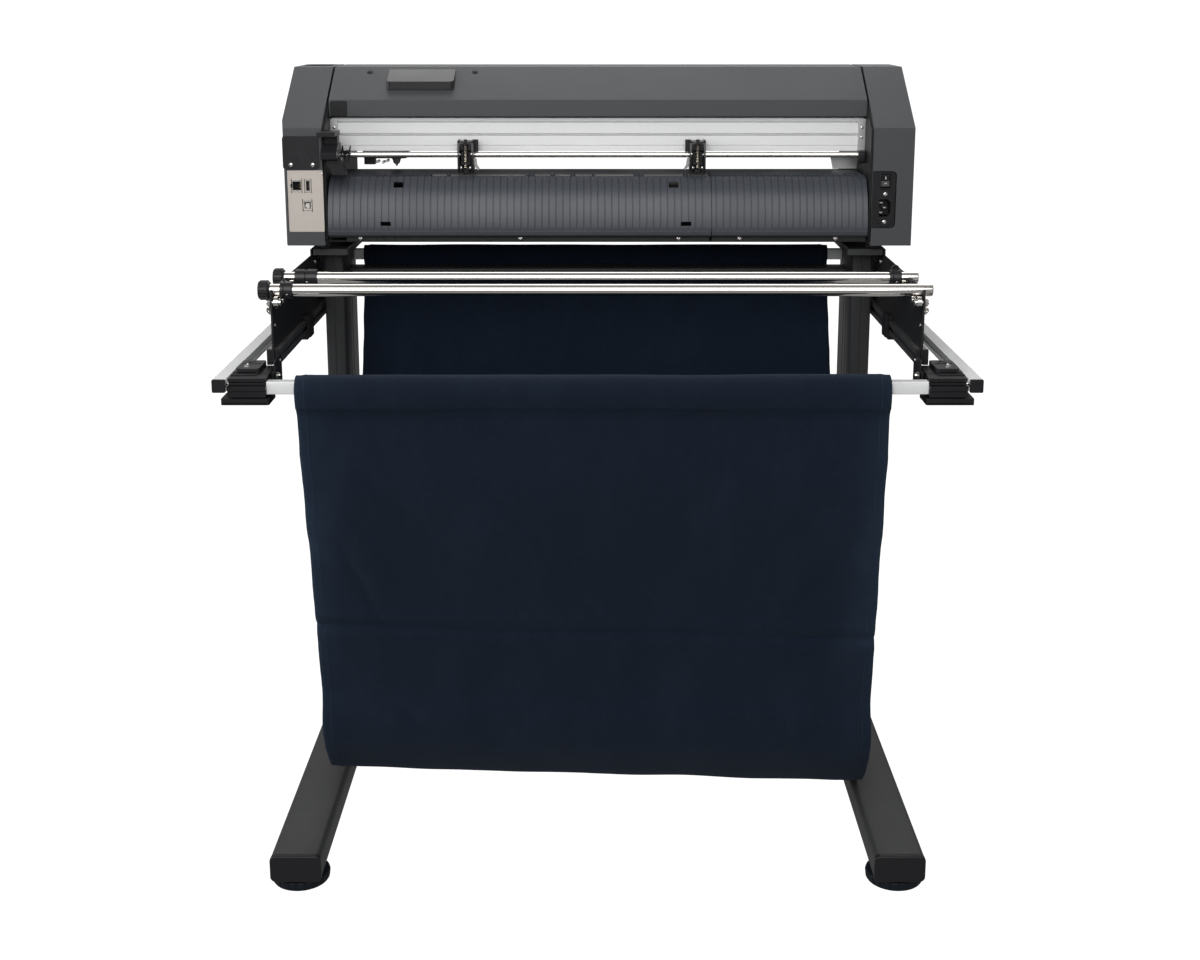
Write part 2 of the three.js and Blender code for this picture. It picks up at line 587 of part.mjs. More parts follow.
const INLET = { x: 411, z: 845, halfX: 8.5, halfZ: 12.5, wall: 2, back: 56, floor: 53 };
const INLET_PLATE = { x: [392.4, 425.7], y: [33.5, 36.5], z: [816.3, 897.7] };
const ROCKER = { x: 411, y: 37, z: 883.5, half: 6.2, windowHalfX: 7, windowHalfZ: 10.8 };
function buildInlet() {
  const { x, z, halfX, halfZ, wall, back, floor } = INLET;
  const plate = block(INLET_PLATE.x, INLET_PLATE.y, INLET_PLATE.z);
  const cup = block([x - halfX - wall, x + halfX + wall], [INLET_PLATE.y[0] + 1, back],
    [z - halfZ - wall, z + halfZ + wall]);
  const pocket = block([x - halfX, x + halfX], [REAR_Y, floor], [z - halfZ, z + halfZ]);
  const window = block([ROCKER.x - ROCKER.windowHalfX, ROCKER.x + ROCKER.windowHalfX],
    [REAR_Y, INLET_PLATE.y[1] + 1], [ROCKER.z - ROCKER.windowHalfZ, ROCKER.z + ROCKER.windowHalfZ]);
  return cut(join(plate, cup), pocket, window);
}
add('power_inlet', buildInlet(), plasticBlack);
const ROCKER_OUTLINE = [[-3, -9], [-1.5, 0], [-5, 9], [4, 8], [4, -8]];   // [y, z] off its pin
add('power_rocker', prismX(ROCKER_OUTLINE.map(([y, z]) => [ROCKER.y + y, ROCKER.z + z]),
  ROCKER.x - ROCKER.half, ROCKER.x + ROCKER.half), plasticBlack);
const SUPPLY = { x: [397, 444], y: [130, 300], z: [800, 880] };
add('power_supply', block(SUPPLY.x, SUPPLY.y, SUPPLY.z), steel);

export default machine;
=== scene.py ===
"""Looks of a roll-fed vinyl cutter on its stand, with a roll holder and a canvas catch basket.

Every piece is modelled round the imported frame, in the frame's own axes: +X along the cutting beam,
-Y towards the roll holder, +Z up. Meshes are drawn in millimetres and made into metres at the end.
"""
import math

import bmesh
import bpy
from mathutils import Matrix, Vector, geometry, noise


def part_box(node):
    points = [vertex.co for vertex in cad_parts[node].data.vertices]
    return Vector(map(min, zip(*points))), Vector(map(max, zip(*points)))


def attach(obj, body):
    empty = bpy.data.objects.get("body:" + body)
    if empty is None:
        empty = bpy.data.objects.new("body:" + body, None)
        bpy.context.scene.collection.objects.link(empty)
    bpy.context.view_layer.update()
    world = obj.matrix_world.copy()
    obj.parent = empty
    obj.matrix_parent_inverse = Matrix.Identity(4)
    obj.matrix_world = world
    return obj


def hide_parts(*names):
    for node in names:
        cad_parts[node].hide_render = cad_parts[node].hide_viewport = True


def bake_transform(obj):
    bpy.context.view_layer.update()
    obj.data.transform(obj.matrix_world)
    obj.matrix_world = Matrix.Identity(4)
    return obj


bl_info = {
    "name": "Vinyl Cutter Pieces",
    "version": (1, 0, 0),
    "blender": (4, 5, 0),
    "location": "View3D > Sidebar > Cutter",
    "description": "Models the pieces of a roll-fed vinyl cutter round its packed frame",
    "category": "Add Mesh",
}

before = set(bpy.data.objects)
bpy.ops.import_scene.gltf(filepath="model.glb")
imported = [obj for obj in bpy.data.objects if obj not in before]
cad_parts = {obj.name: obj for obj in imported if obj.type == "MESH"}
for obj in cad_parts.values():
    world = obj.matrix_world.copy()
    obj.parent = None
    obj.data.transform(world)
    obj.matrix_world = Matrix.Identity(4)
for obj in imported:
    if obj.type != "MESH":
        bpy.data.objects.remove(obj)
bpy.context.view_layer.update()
MM = 0.001
SIDES = (("left", -1), ("right", 1))
X, Y, Z = Vector((1, 0, 0)), Vector((0, 1, 0)), Vector((0, 0, 1))


def cad(node):
    """Lowest and highest corner of a frame node, in millimetres."""
    low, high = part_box(node)
    return low / MM, high / MM


# ---- mesh helpers ---------------------------------------------------------------------
def add_box(bm, low, high):
    """A box between two corners."""
    low, high = Vector(low), Vector(high)
    size = Matrix.Diagonal((*(high - low), 1))
    made = bmesh.ops.create_cube(bm, size=1, matrix=Matrix.Translation((low + high) / 2) @ size)
    return made["verts"]


def add_prism(bm, outline, axis, start, end):
    """A closed outline pushed along an axis. Its pairs are the other two axes in order."""
    order = {"X": (1, 2, 0), "Y": (0, 2, 1), "Z": (0, 1, 2)}[axis]
    verts = []
    for a, b in outline:
        place = [0, 0, 0]
        place[order[0]], place[order[1]], place[order[2]] = a, b, start
        verts.append(bm.verts.new(place))
    face = bm.faces.new(verts)
    pushed = bmesh.ops.extrude_face_region(bm, geom=[face])
    moved = [v for v in pushed["geom"] if isinstance(v, bmesh.types.BMVert)]
    way = Vector((0, 0, 0))
    way[order[2]] = end - start
    bmesh.ops.translate(bm, vec=way, verts=moved)
    bmesh.ops.recalc_face_normals(bm, faces=bm.faces)
    return verts + moved


def add_rod(bm, radius, start, end, sides=32, end_radius=None):
    """A round bar between two points."""
    start, end = Vector(start), Vector(end)
    way = end - start
    turn = way.to_track_quat("Z", "Y").to_matrix().to_4x4()
    made = bmesh.ops.create_cone(
        bm, cap_ends=True, segments=sides, radius1=radius,
        radius2=radius if end_radius is None else end_radius, depth=way.length,
        matrix=Matrix.Translation((start + end) / 2) @ turn)
    return made["verts"]


def add_turned(bm, profile, centre, axis, sides=48):
    """A turned shape. The profile's pairs are (distance along the axis, radius)."""
    centre, axis = Vector(centre), Vector(axis).normalized()
    out = axis.orthogonal().normalized()
    verts = [bm.verts.new(centre + axis * a + out * r) for a, r in profile]
    edges = [bm.edges.new(pair) for pair in zip(verts, verts[1:])]
    made = bmesh.ops.spin(bm, geom=verts + edges, cent=centre, axis=axis,
                          angle=math.tau, steps=sides, use_merge=True, use_duplicate=False)
    bmesh.ops.remove_doubles(bm, verts=bm.verts, dist=0.001)
    bmesh.ops.recalc_face_normals(bm, faces=bm.faces)
    return made


def arc(centre, radii, start, end, steps):
    """Points of an elliptical arc in a plane, with angles in degrees."""
    points = []
    for i in range(steps + 1):
        turn = math.radians(start + (end - start) * i / steps)
        points.append((centre[0] + radii[0] * math.cos(turn),
                       centre[1] + radii[1] * math.sin(turn)))
    return points


def rounded(low, high, radius, steps=5, skip=()):
    """Outline of a rectangle with round corners; skip names square corners, 0 is low-low."""
    corners = ((low[0], low[1], 180), (high[0], low[1], 270), (high[0], high[1], 0),
               (low[0], high[1], 90))
    inward = ((1, 1), (-1, 1), (-1, -1), (1, -1))
    points = []
    for i, ((a, b, start), (da, db)) in enumerate(zip(corners, inward)):
        if i in skip:
            points.append((a, b))
        else:
            centre = (a + da * radius, b + db * radius)
            points += arc(centre, (radius, radius), start, start + 90, steps)
    return points


def smooth_by_angle(mesh, degrees):
    for face in mesh.polygons:
        face.use_smooth = True
    mesh.set_sharp_from_angle(angle=math.radians(degrees))


def make_piece(name, bm, material, body="root", replaces=(), bevel=0.0, segments=2,
               angle=32):
    """Turns a mesh in millimetres into a finished piece that rides on a body, if it has one."""
    bmesh.ops.scale(bm, vec=(MM, MM, MM), verts=bm.verts)
    mesh = bpy.data.meshes.new(name)
    bm.to_mesh(mesh)
    bm.free()
    smooth_by_angle(mesh, angle)
    piece = bpy.data.objects.new(name, mesh)
    bpy.context.scene.collection.objects.link(piece)
    mesh.materials.append(material)
    if bevel:
        edge = piece.modifiers.new("soft edges", "BEVEL")
        edge.width = bevel * MM
        edge.segments = segments
        edge.limit_method = "ANGLE"
        edge.angle_limit = math.radians(angle)
        edge.harden_normals = True
    if body:
        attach(piece, body)
    if replaces:
        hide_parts(*replaces)
    return piece


def carve(bm, cutters):
    """Cuts closed meshes out of another and returns the result as a new mesh."""
    base = bpy.data.meshes.new("base")
    bm.to_mesh(base)
    bm.free()
    body = bpy.data.objects.new("base", base)
    bpy.context.scene.collection.objects.link(body)
    tool_mesh = bpy.data.meshes.new("tool")
    cutters.to_mesh(tool_mesh)
    cutters.free()
    tool = bpy.data.objects.new("tool", tool_mesh)
    bpy.context.scene.collection.objects.link(tool)
    cut = body.modifiers.new("cut", "BOOLEAN")
    cut.operation = "DIFFERENCE"
    cut.solver = "EXACT"
    cut.use_self = True
    cut.object = tool
    depsgraph = bpy.context.evaluated_depsgraph_get()
    result = bmesh.new()
    result.from_mesh(body.evaluated_get(depsgraph).to_mesh())
    for used in (body, tool):
        bpy.data.objects.remove(used)
    return result


def wire_mesh(points, radius, cyclic=False, resolution=4):
    """A round wire along points, as a mesh in millimetres."""
    curve = bpy.data.curves.new("wire", "CURVE")
    curve.dimensions = "3D"
    curve.bevel_depth = radius
    curve.bevel_resolution = resolution
    curve.use_fill_caps = True
    spline = curve.splines.new("POLY")
    spline.points.add(len(points) - 1)
    for point, place in zip(spline.points, points):
        point.co = (*place, 1)
    spline.use_cyclic_u = cyclic
    holder = bpy.data.objects.new("wire", curve)
    bpy.context.scene.collection.objects.link(holder)
    depsgraph = bpy.context.evaluated_depsgraph_get()
    bm = bmesh.new()
    bm.from_mesh(holder.evaluated_get(depsgraph).to_mesh())
    bpy.data.objects.remove(holder)
    bmesh.ops.remove_doubles(bm, verts=bm.verts, dist=0.001)
    return bm


def add_mesh(bm, other):
    """Adds a finished mesh to another."""
    carrier = bpy.data.meshes.new("carrier")
    other.to_mesh(carrier)
    other.free()
    bm.from_mesh(carrier)
    bpy.data.meshes.remove(carrier)


def add_screw(bm, centre, way, radius, height=1.6, drive="cross"):
    """A pan-head screw whose head stands on a face and points along way."""
    centre, way = Vector(centre), Vector(way).normalized()
    head = bmesh.new()
    add_turned(head, [(-0.6, 0), (-0.6, radius), (height * 0.35, radius),
                      (height * 0.8, radius * 0.82),
                      (height, radius * 0.45), (height, 0)], (0, 0, 0), Z, sides=20)
    tool = bmesh.new()
    if drive == "cross":
        for turn in (0, math.pi / 2):
            verts = add_box(tool, (-radius * 0.6, -radius * 0.13, height * 0.35),
                            (radius * 0.6, radius * 0.13, height + 1))
            bmesh.ops.rotate(tool, verts=verts, cent=(0, 0, 0),
                             matrix=Matrix.Rotation(turn, 3, "Z"))
    else:
        add_rod(tool, radius * 0.5, (0, 0, height * 0.2), (0, 0, height + 1), sides=6)
    head = carve(head, tool)
    turn = way.to_track_quat("Z", "Y").to_matrix().to_4x4()
    bmesh.ops.transform(head, matrix=Matrix.Translation(centre) @ turn, verts=head.verts)
    add_mesh(bm, head)


# ---- shared shader effects ------------------------------------------------------------
def add_node(tree, kind, inputs, **settings):
    """A shader node whose inputs are constants or other nodes' outputs."""
    node = tree.nodes.new(kind)
    for name, value in settings.items():
        setattr(node, name, value)
    for key, value in inputs.items():
        if isinstance(value, bpy.types.NodeSocket):
            tree.links.new(value, node.inputs[key])
        else:
            node.inputs[key].default_value = value
    return node


def new_effect(name, inputs, outputs):
    """An empty shader effect, with its input and output nodes."""
    effect = bpy.data.node_groups.new(name, "ShaderNodeTree")
    for label, kind, value in inputs:
        socket = effect.interface.new_socket(label, in_out="INPUT", socket_type="NodeSocket" + kind)
        socket.default_value = value
    for label in outputs:
        effect.interface.new_socket(label, in_out="OUTPUT", socket_type="NodeSocketFloat")
    return effect, effect.nodes.new("NodeGroupInput"), effect.nodes.new("NodeGroupOutput")


def grain_effect():
    """Fine surface grain, with slow patches of shade and gloss."""
    effect, given, made = new_effect(
        "fine grain",
        (("Vector", "Vector", (0, 0, 0)), ("Grains per metre", "Float", 900.0),
         ("Patches per metre", "Float", 7.0)),
        ("Height", "Shade", "Gloss"))
    grains = add_node(effect, "ShaderNodeTexNoise", {
        "Vector": given.outputs["Vector"], "Scale": given.outputs["Grains per metre"],
        "Detail": 2.5, "Roughness": 0.6})
    patches = add_node(effect, "ShaderNodeTexNoise", {
        "Vector": given.outputs["Vector"], "Scale": given.outputs["Patches per metre"],
        "Detail": 5.0, "Roughness": 0.62})
    shade = add_node(effect, "ShaderNodeMath", {0: grains.outputs[0], 1: patches.outputs[0]},
                     operation="ADD")
    half = add_node(effect, "ShaderNodeMath", {0: shade.outputs[0], 1: 0.5}, operation="MULTIPLY")
    effect.links.new(grains.outputs[0], made.inputs["Height"])
    effect.links.new(half.outputs[0], made.inputs["Shade"])
    effect.links.new(patches.outputs[0], made.inputs["Gloss"])
    return effect


def brushed_effect():
    """Long fine lines, as brushing and drawing leave on metal."""
    effect, given, made = new_effect(
        "brushed lines",
        (("Vector", "Vector", (0, 0, 0)), ("Lines per metre", "Vector", (12.0, 1800.0, 1800.0)),
         ("Patches per metre", "Float", 5.0)),
        ("Height", "Shade", "Gloss"))
    stretched = add_node(effect, "ShaderNodeVectorMath", {
        0: given.outputs["Vector"], 1: given.outputs["Lines per metre"]}, operation="MULTIPLY")
    lines = add_node(effect, "ShaderNodeTexNoise", {
        "Vector": stretched.outputs[0], "Scale": 1.0, "Detail": 3.0, "Roughness": 0.7})
    patches = add_node(effect, "ShaderNodeTexNoise", {
        "Vector": given.outputs["Vector"], "Scale": given.outputs["Patches per metre"],
        "Detail": 4.0, "Roughness": 0.6})
    shade = add_node(effect, "ShaderNodeMath", {0: lines.outputs[0], 1: patches.outputs[0]},
                     operation="ADD")
    half = add_node(effect, "ShaderNodeMath", {0: shade.outputs[0], 1: 0.5}, operation="MULTIPLY")
    effect.links.new(lines.outputs[0], made.inputs["Height"])
    effect.links.new(half.outputs[0], made.inputs["Shade"])
    effect.links.new(half.outputs[0], made.inputs["Gloss"])
    return effect


def weave_effect():
    """A plain weave of two threads, one over and one under."""
    effect, given, made = new_effect(
        "plain weave",
        (("Vector", "Vector", (0, 0, 0)), ("Threads per metre", "Float", 1500.0)),
        ("Height", "Shade"))
    scaled = add_node(effect, "ShaderNodeVectorMath", {
        0: given.outputs["Vector"], "Scale": given.outputs["Threads per metre"]}, operation="SCALE")
    cells = add_node(effect, "ShaderNodeTexChecker", {
        "Vector": scaled.outputs[0], "Scale": 1.0, "Color1": (1, 1, 1, 1), "Color2": (0, 0, 0, 1)})
    axes = add_node(effect, "ShaderNodeSeparateXYZ", {0: scaled.outputs[0]})
    bumps = []
    for label in ("X", "Y"):
        turn = add_node(effect, "ShaderNodeMath", {0: axes.outputs[label], 1: math.pi},
                        operation="MULTIPLY")
        wave = add_node(effect, "ShaderNodeMath", {0: turn.outputs[0]}, operation="SINE")
        bumps.append(add_node(effect, "ShaderNodeMath", {0: wave.outputs[0]}, operation="ABSOLUTE"))
    height = add_node(effect, "ShaderNodeMix", {
        "Factor": cells.outputs["Fac"], 2: bumps[0].outputs[0], 3: bumps[1].outputs[0]})
    slubs = add_node(effect, "ShaderNodeTexNoise", {
        "Vector": given.outputs["Vector"], "Scale": 160.0, "Detail": 4.0, "Roughness": 0.7})
    shade = add_node(effect, "ShaderNodeMath", {0: height.outputs[0], 1: slubs.outputs[0]},
                     operation="MULTIPLY")
    effect.links.new(height.outputs[0], made.inputs["Height"])
    effect.links.new(shade.outputs[0], made.inputs["Shade"])
    return effect


def dust_effect():
    """Thin dust that lies on faces which point up."""
    effect, given, made = new_effect(
        "settled dust",
        (("Vector", "Vector", (0, 0, 0)), ("Normal", "Vector", (0, 0, 1)),
         ("Amount", "Float", 0.3)),
        ("Mask",))
    facing = add_node(effect, "ShaderNodeSeparateXYZ", {0: given.outputs["Normal"]})
    up = add_node(effect, "ShaderNodeMapRange", {
        "Value": facing.outputs["Z"], "From Min": 0.2, "From Max": 1.0})
    clouds = add_node(effect, "ShaderNodeTexNoise", {
        "Vector": given.outputs["Vector"], "Scale": 30.0, "Detail": 6.0, "Roughness": 0.7})
    layer = add_node(effect, "ShaderNodeMath", {0: up.outputs[0], 1: clouds.outputs[0]},
                     operation="MULTIPLY")
    mask = add_node(effect, "ShaderNodeMath", {0: layer.outputs[0], 1: given.outputs["Amount"]},
                    operation="MULTIPLY")
    effect.links.new(mask.outputs[0], made.inputs["Mask"])
    return effect


# ---- materials ------------------------------------------------------------------------
EFFECTS = {}
FINISHES = {}


def tint(colour, factor):
    return (*(min(1.0, c * factor) for c in colour[:3]), 1.0)


def new_finish(name, roughness, metallic, sockets):
    """An empty material, with its shader set and its tree's coordinates."""
    material = bpy.data.materials.new(name)
    material.use_nodes = True
    tree = material.node_tree
    shader = tree.nodes["Principled BSDF"]
    shader.inputs["Metallic"].default_value = metallic
    shader.inputs["Roughness"].default_value = roughness
    for label, value in sockets.items():
        shader.inputs[label].default_value = value
    FINISHES[name] = material
    return tree, shader, tree.nodes.new("ShaderNodeTexCoord")


def lay_texture(tree, shader, texture, colour, roughness, speckle, unevenness, depth):
    """Drives colour, roughness and bump from an effect's masks."""
    mix = add_node(tree, "ShaderNodeMix", {
        "Factor": texture.outputs["Shade"], 6: tint(colour, 1 - speckle),
        7: tint(colour, 1 + speckle)}, data_type="RGBA")
    gloss = add_node(tree, "ShaderNodeMapRange", {
        "Value": texture.outputs["Gloss"], "From Min": 0.3, "From Max": 0.7,
        "To Min": max(0.02, roughness - unevenness), "To Max": min(1.0, roughness + unevenness)})
    bump = add_node(tree, "ShaderNodeBump", {
        "Height": texture.outputs["Height"], "Strength": 1.0, "Distance": depth * MM})
    tree.links.new(gloss.outputs[0], shader.inputs["Roughness"])
    tree.links.new(bump.outputs[0], shader.inputs["Normal"])
    return mix.outputs[2]


def grained(name, colour, roughness, metallic=0.0, grains=900.0, depth=0.03, speckle=0.12,
            unevenness=0.05, dust=0.0, **sockets):
    """A painted, moulded or cast finish with fine grain."""
    tree, shader, place = new_finish(name, roughness, metallic, sockets)
    texture = add_node(tree, "ShaderNodeGroup", {}, node_tree=EFFECTS["grain"])
    tree.links.new(place.outputs["Object"], texture.inputs["Vector"])
    texture.inputs["Grains per metre"].default_value = grains
    shown = lay_texture(tree, shader, texture, colour, roughness, speckle, unevenness, depth)
    if dust:
        layer = add_node(tree, "ShaderNodeGroup", {}, node_tree=EFFECTS["dust"])
        tree.links.new(place.outputs["Object"], layer.inputs["Vector"])
        tree.links.new(place.outputs["Normal"], layer.inputs["Normal"])
        layer.inputs["Amount"].default_value = dust
        mix = add_node(tree, "ShaderNodeMix", {
            "Factor": layer.outputs["Mask"], 6: shown, 7: (0.42, 0.41, 0.39, 1.0)},
            data_type="RGBA")
        shown = mix.outputs[2]
    tree.links.new(shown, shader.inputs["Base Color"])


def brushed(name, colour, roughness, lines=(12.0, 1800.0, 1800.0), depth=0.004, speckle=0.05,
            unevenness=0.06, **sockets):
    """A drawn or brushed metal finish."""
    tree, shader, place = new_finish(name, roughness, 1.0, sockets)
    texture = add_node(tree, "ShaderNodeGroup", {}, node_tree=EFFECTS["brushed"])
    tree.links.new(place.outputs["Object"], texture.inputs["Vector"])
    texture.inputs["Lines per metre"].default_value = lines
    shown = lay_texture(tree, shader, texture, colour, roughness, speckle, unevenness, depth)
    tree.links.new(shown, shader.inputs["Base Color"])


def canvas_finish(name, colour, faded):
    """Woven canvas on its own UV map, with rubbed and faded places."""
    tree, shader, place = new_finish(name, 0.88, 0.0, {
        "Specular IOR Level": 0.18, "Sheen Weight": 0.12, "Sheen Roughness": 0.5,
        "Sheen Tint": (0.35, 0.45, 0.62, 1.0)})
    weave = add_node(tree, "ShaderNodeGroup", {}, node_tree=EFFECTS["weave"])
    tree.links.new(place.outputs["UV"], weave.inputs["Vector"])
    weave.inputs["Threads per metre"].default_value = 1300.0
    threads = add_node(tree, "ShaderNodeMix", {
        "Factor": weave.outputs["Shade"], 6: tint(colour, 0.62), 7: tint(colour, 1.7)},
        data_type="RGBA")
    stretched = add_node(tree, "ShaderNodeMapping", {
        "Vector": place.outputs["UV"], "Scale": (14.0, 6.0, 1.0)})
    streaks = add_node(tree, "ShaderNodeTexNoise", {
        "Vector": stretched.outputs[0], "Scale": 1.0, "Detail": 7.0, "Roughness": 0.68})
    rub = add_node(tree, "ShaderNodeMapRange", {
        "Value": streaks.outputs[0], "From Min": 0.48, "From Max": 0.86, "To Max": 0.3})
    worn = add_node(tree, "ShaderNodeMix", {
        "Factor": rub.outputs[0], 6: threads.outputs[2], 7: (*faded, 1.0)}, data_type="RGBA")
    hem = add_node(tree, "ShaderNodeAttribute", {}, attribute_name="hem fade",
                   attribute_type="GEOMETRY")
    edge = add_node(tree, "ShaderNodeMath", {0: hem.outputs["Fac"], 1: streaks.outputs[0]},
                    operation="MULTIPLY")
    shown = add_node(tree, "ShaderNodeMix", {
        "Factor": edge.outputs[0], 6: worn.outputs[2], 7: tint(faded, 1.5)}, data_type="RGBA")
    fuzz = add_node(tree, "ShaderNodeTexNoise", {
        "Vector": place.outputs["UV"], "Scale": 420.0, "Detail": 3.0, "Roughness": 0.6})
    mottle = add_node(tree, "ShaderNodeMath", {0: fuzz.outputs[0], 1: 0.5}, operation="MULTIPLY")
    height = add_node(tree, "ShaderNodeMath", {0: weave.outputs["Height"], 1: mottle.outputs[0]},
                      operation="ADD")
    bump = add_node(tree, "ShaderNodeBump", {
        "Height": height.outputs[0], "Strength": 0.9, "Distance": 0.22 * MM})
    tree.links.new(shown.outputs[2], shader.inputs["Base Color"])
    tree.links.new(bump.outputs[0], shader.inputs["Normal"])


def colour_property(label, use, value):
    return bpy.props.FloatVectorProperty(
        name=label, description=use, subtype="COLOR", size=3, min=0.0, max=1.0, default=value)


def length_property(label, use, value):
    return bpy.props.FloatProperty(name=label, description=use, unit="LENGTH", default=value,
                                   min=value / 3, max=value * 3, precision=4)


class CutterSizes(bpy.types.PropertyGroup):
    groove_pitch: length_property("Groove pitch", "Spacing of the platen's grooves", 0.010)
    groove_depth: length_property("Groove depth", "Depth of the platen's grooves", 0.0008)
    canvas_thickness: length_property("Canvas thickness", "Thickness of the basket cloth", 0.0011)
    knob_teeth: bpy.props.IntProperty(
        name="Knob teeth", description="Ridges round each media roller's knob", default=18,
        min=8, max=40)


class CutterFinishes(bpy.types.PropertyGroup):
    cover_grey: colour_property("Cover grey", "Textured paint of the covers", (0.058, 0.061, 0.066))
    stand_black: colour_property("Stand black", "Powder coat of the legs and columns",
                                 (0.034, 0.035, 0.037))
    plastic_black: colour_property("Plastic black", "Moulded knobs, blocks and caps",
                                   (0.016, 0.016, 0.018))
    platen_blue: colour_property("Platen blue", "Moulded platen", (0.060, 0.066, 0.080))
    canvas_navy: colour_property("Canvas navy", "Cloth of the basket", (0.0058, 0.0126, 0.0270))
    canvas_faded: colour_property("Canvas faded", "Rubbed places of the cloth",
                                  (0.020, 0.036, 0.062))
    bar_silver: colour_property("Bar silver", "Anodised bars and beam", (0.90, 0.905, 0.91))
    panel_steel: colour_property("Panel steel", "Plain steel of the socket panel",
                                 (0.64, 0.58, 0.53))


def make_finishes(colours):
    """Builds the shared effects, then one material for each finish."""
    EFFECTS.update(grain=grain_effect(), brushed=brushed_effect(), weave=weave_effect(),
                   dust=dust_effect())
    silver, black = colours.bar_silver, colours.plastic_black
    dull = {"Specular IOR Level": 0.25}
    grained("cover paint", colours.cover_grey, 0.48, grains=1400.0, depth=0.035, speckle=0.16,
            dust=0.05)
    grained("stand paint", colours.stand_black, 0.46, grains=1100.0, depth=0.04, speckle=0.2,
            dust=0.06, **{"Specular IOR Level": 0.35})
    grained("plate paint", tint(colours.stand_black, 0.45), 0.5, grains=1300.0, depth=0.02,
            speckle=0.12, **dull)
    grained("black plastic", black, 0.38, grains=2100.0, depth=0.02, speckle=0.12, **dull)
    grained("satin plastic", tint(black, 1.1), 0.3, grains=2400.0, depth=0.008, speckle=0.08,
            **{"Specular IOR Level": 0.4})
    grained("foot plastic", (0.006, 0.009, 0.014), 0.5, grains=1800.0, depth=0.03, speckle=0.15,
            **dull)
    grained("platen plastic", colours.platen_blue, 0.4, grains=2200.0, depth=0.015, speckle=0.1,
            unevenness=0.07)
    # the platen blue at half brightness: painted shade for the platen's downward-facing lip and for
    # the sheet behind its seam
    grained("platen painted shade", tint(colours.platen_blue, 0.5), 0.42, grains=2200.0, depth=0.015,
            speckle=0.1)
    grained("grey rubber", (0.045, 0.045, 0.046), 0.82, grains=2600.0, depth=0.03, speckle=0.2)
    grained("motor black", (0.022, 0.022, 0.024), 0.45, grains=1500.0, depth=0.03, speckle=0.15)
    grained("white room", (0.0, 0.0, 0.0), 1.0, grains=60.0, depth=0.01, speckle=0.01,
            **{"Emission Color": (1.0, 1.0, 1.0, 1.0), "Emission Strength": 1.1})
    grained("board green", (0.012, 0.085, 0.034), 0.35, grains=700.0, depth=0.01, speckle=0.25)
    grained("chip black", (0.012, 0.012, 0.013), 0.5, grains=2600.0, depth=0.01, speckle=0.15)
    grained("white print", (0.78, 0.78, 0.76), 0.55, grains=2600.0, depth=0.004, speckle=0.05)
    grained("light plastic", (0.70, 0.69, 0.66), 0.42, grains=2200.0, depth=0.008, speckle=0.04)
    grained("spring steel", (0.62, 0.55, 0.46), 0.3, metallic=1.0, grains=2600.0, depth=0.004,
            speckle=0.08)
    grained("screw steel", (0.78, 0.76, 0.73), 0.24, metallic=1.0, grains=2600.0, depth=0.004,
            speckle=0.06)
    grained("gold contact", (0.83, 0.62, 0.28), 0.25, metallic=1.0, grains=2600.0, depth=0.002,
            speckle=0.05)
    grained("chrome", (0.90, 0.87, 0.83), 0.07, metallic=1.0, grains=1600.0, depth=0.0008,
            speckle=0.02, unevenness=0.02)
    grained("grit", (0.40, 0.39, 0.38), 0.62, metallic=1.0, grains=3000.0, depth=0.12, speckle=0.3)
    grained("stitching", tint(colours.canvas_faded, 0.8), 0.8, grains=3000.0, depth=0.05,
            speckle=0.3)
    anodised = {"Metallic": 0.05}
    brushed("bar aluminium", silver, 0.36, lines=(1800.0, 10.0, 1800.0), **anodised)
    brushed("arm aluminium", tint(silver, 0.35), 0.4, lines=(1800.0, 10.0, 1800.0))
    brushed("cross bar aluminium", silver, 0.34, **anodised)
    brushed("beam aluminium", silver, 0.42, speckle=0.04, **anodised)
    brushed("end plate", tint(silver, 0.62), 0.42, lines=(1500.0, 1500.0, 14.0))
    brushed("panel steel", colours.panel_steel, 0.34, lines=(900.0, 900.0, 25.0), speckle=0.05,
            Metallic=0.2)
    brushed("motor steel", (0.62, 0.62, 0.61), 0.34, lines=(1500.0, 1500.0, 20.0))
    canvas_finish("basket canvas", colours.canvas_navy, colours.canvas_faded)


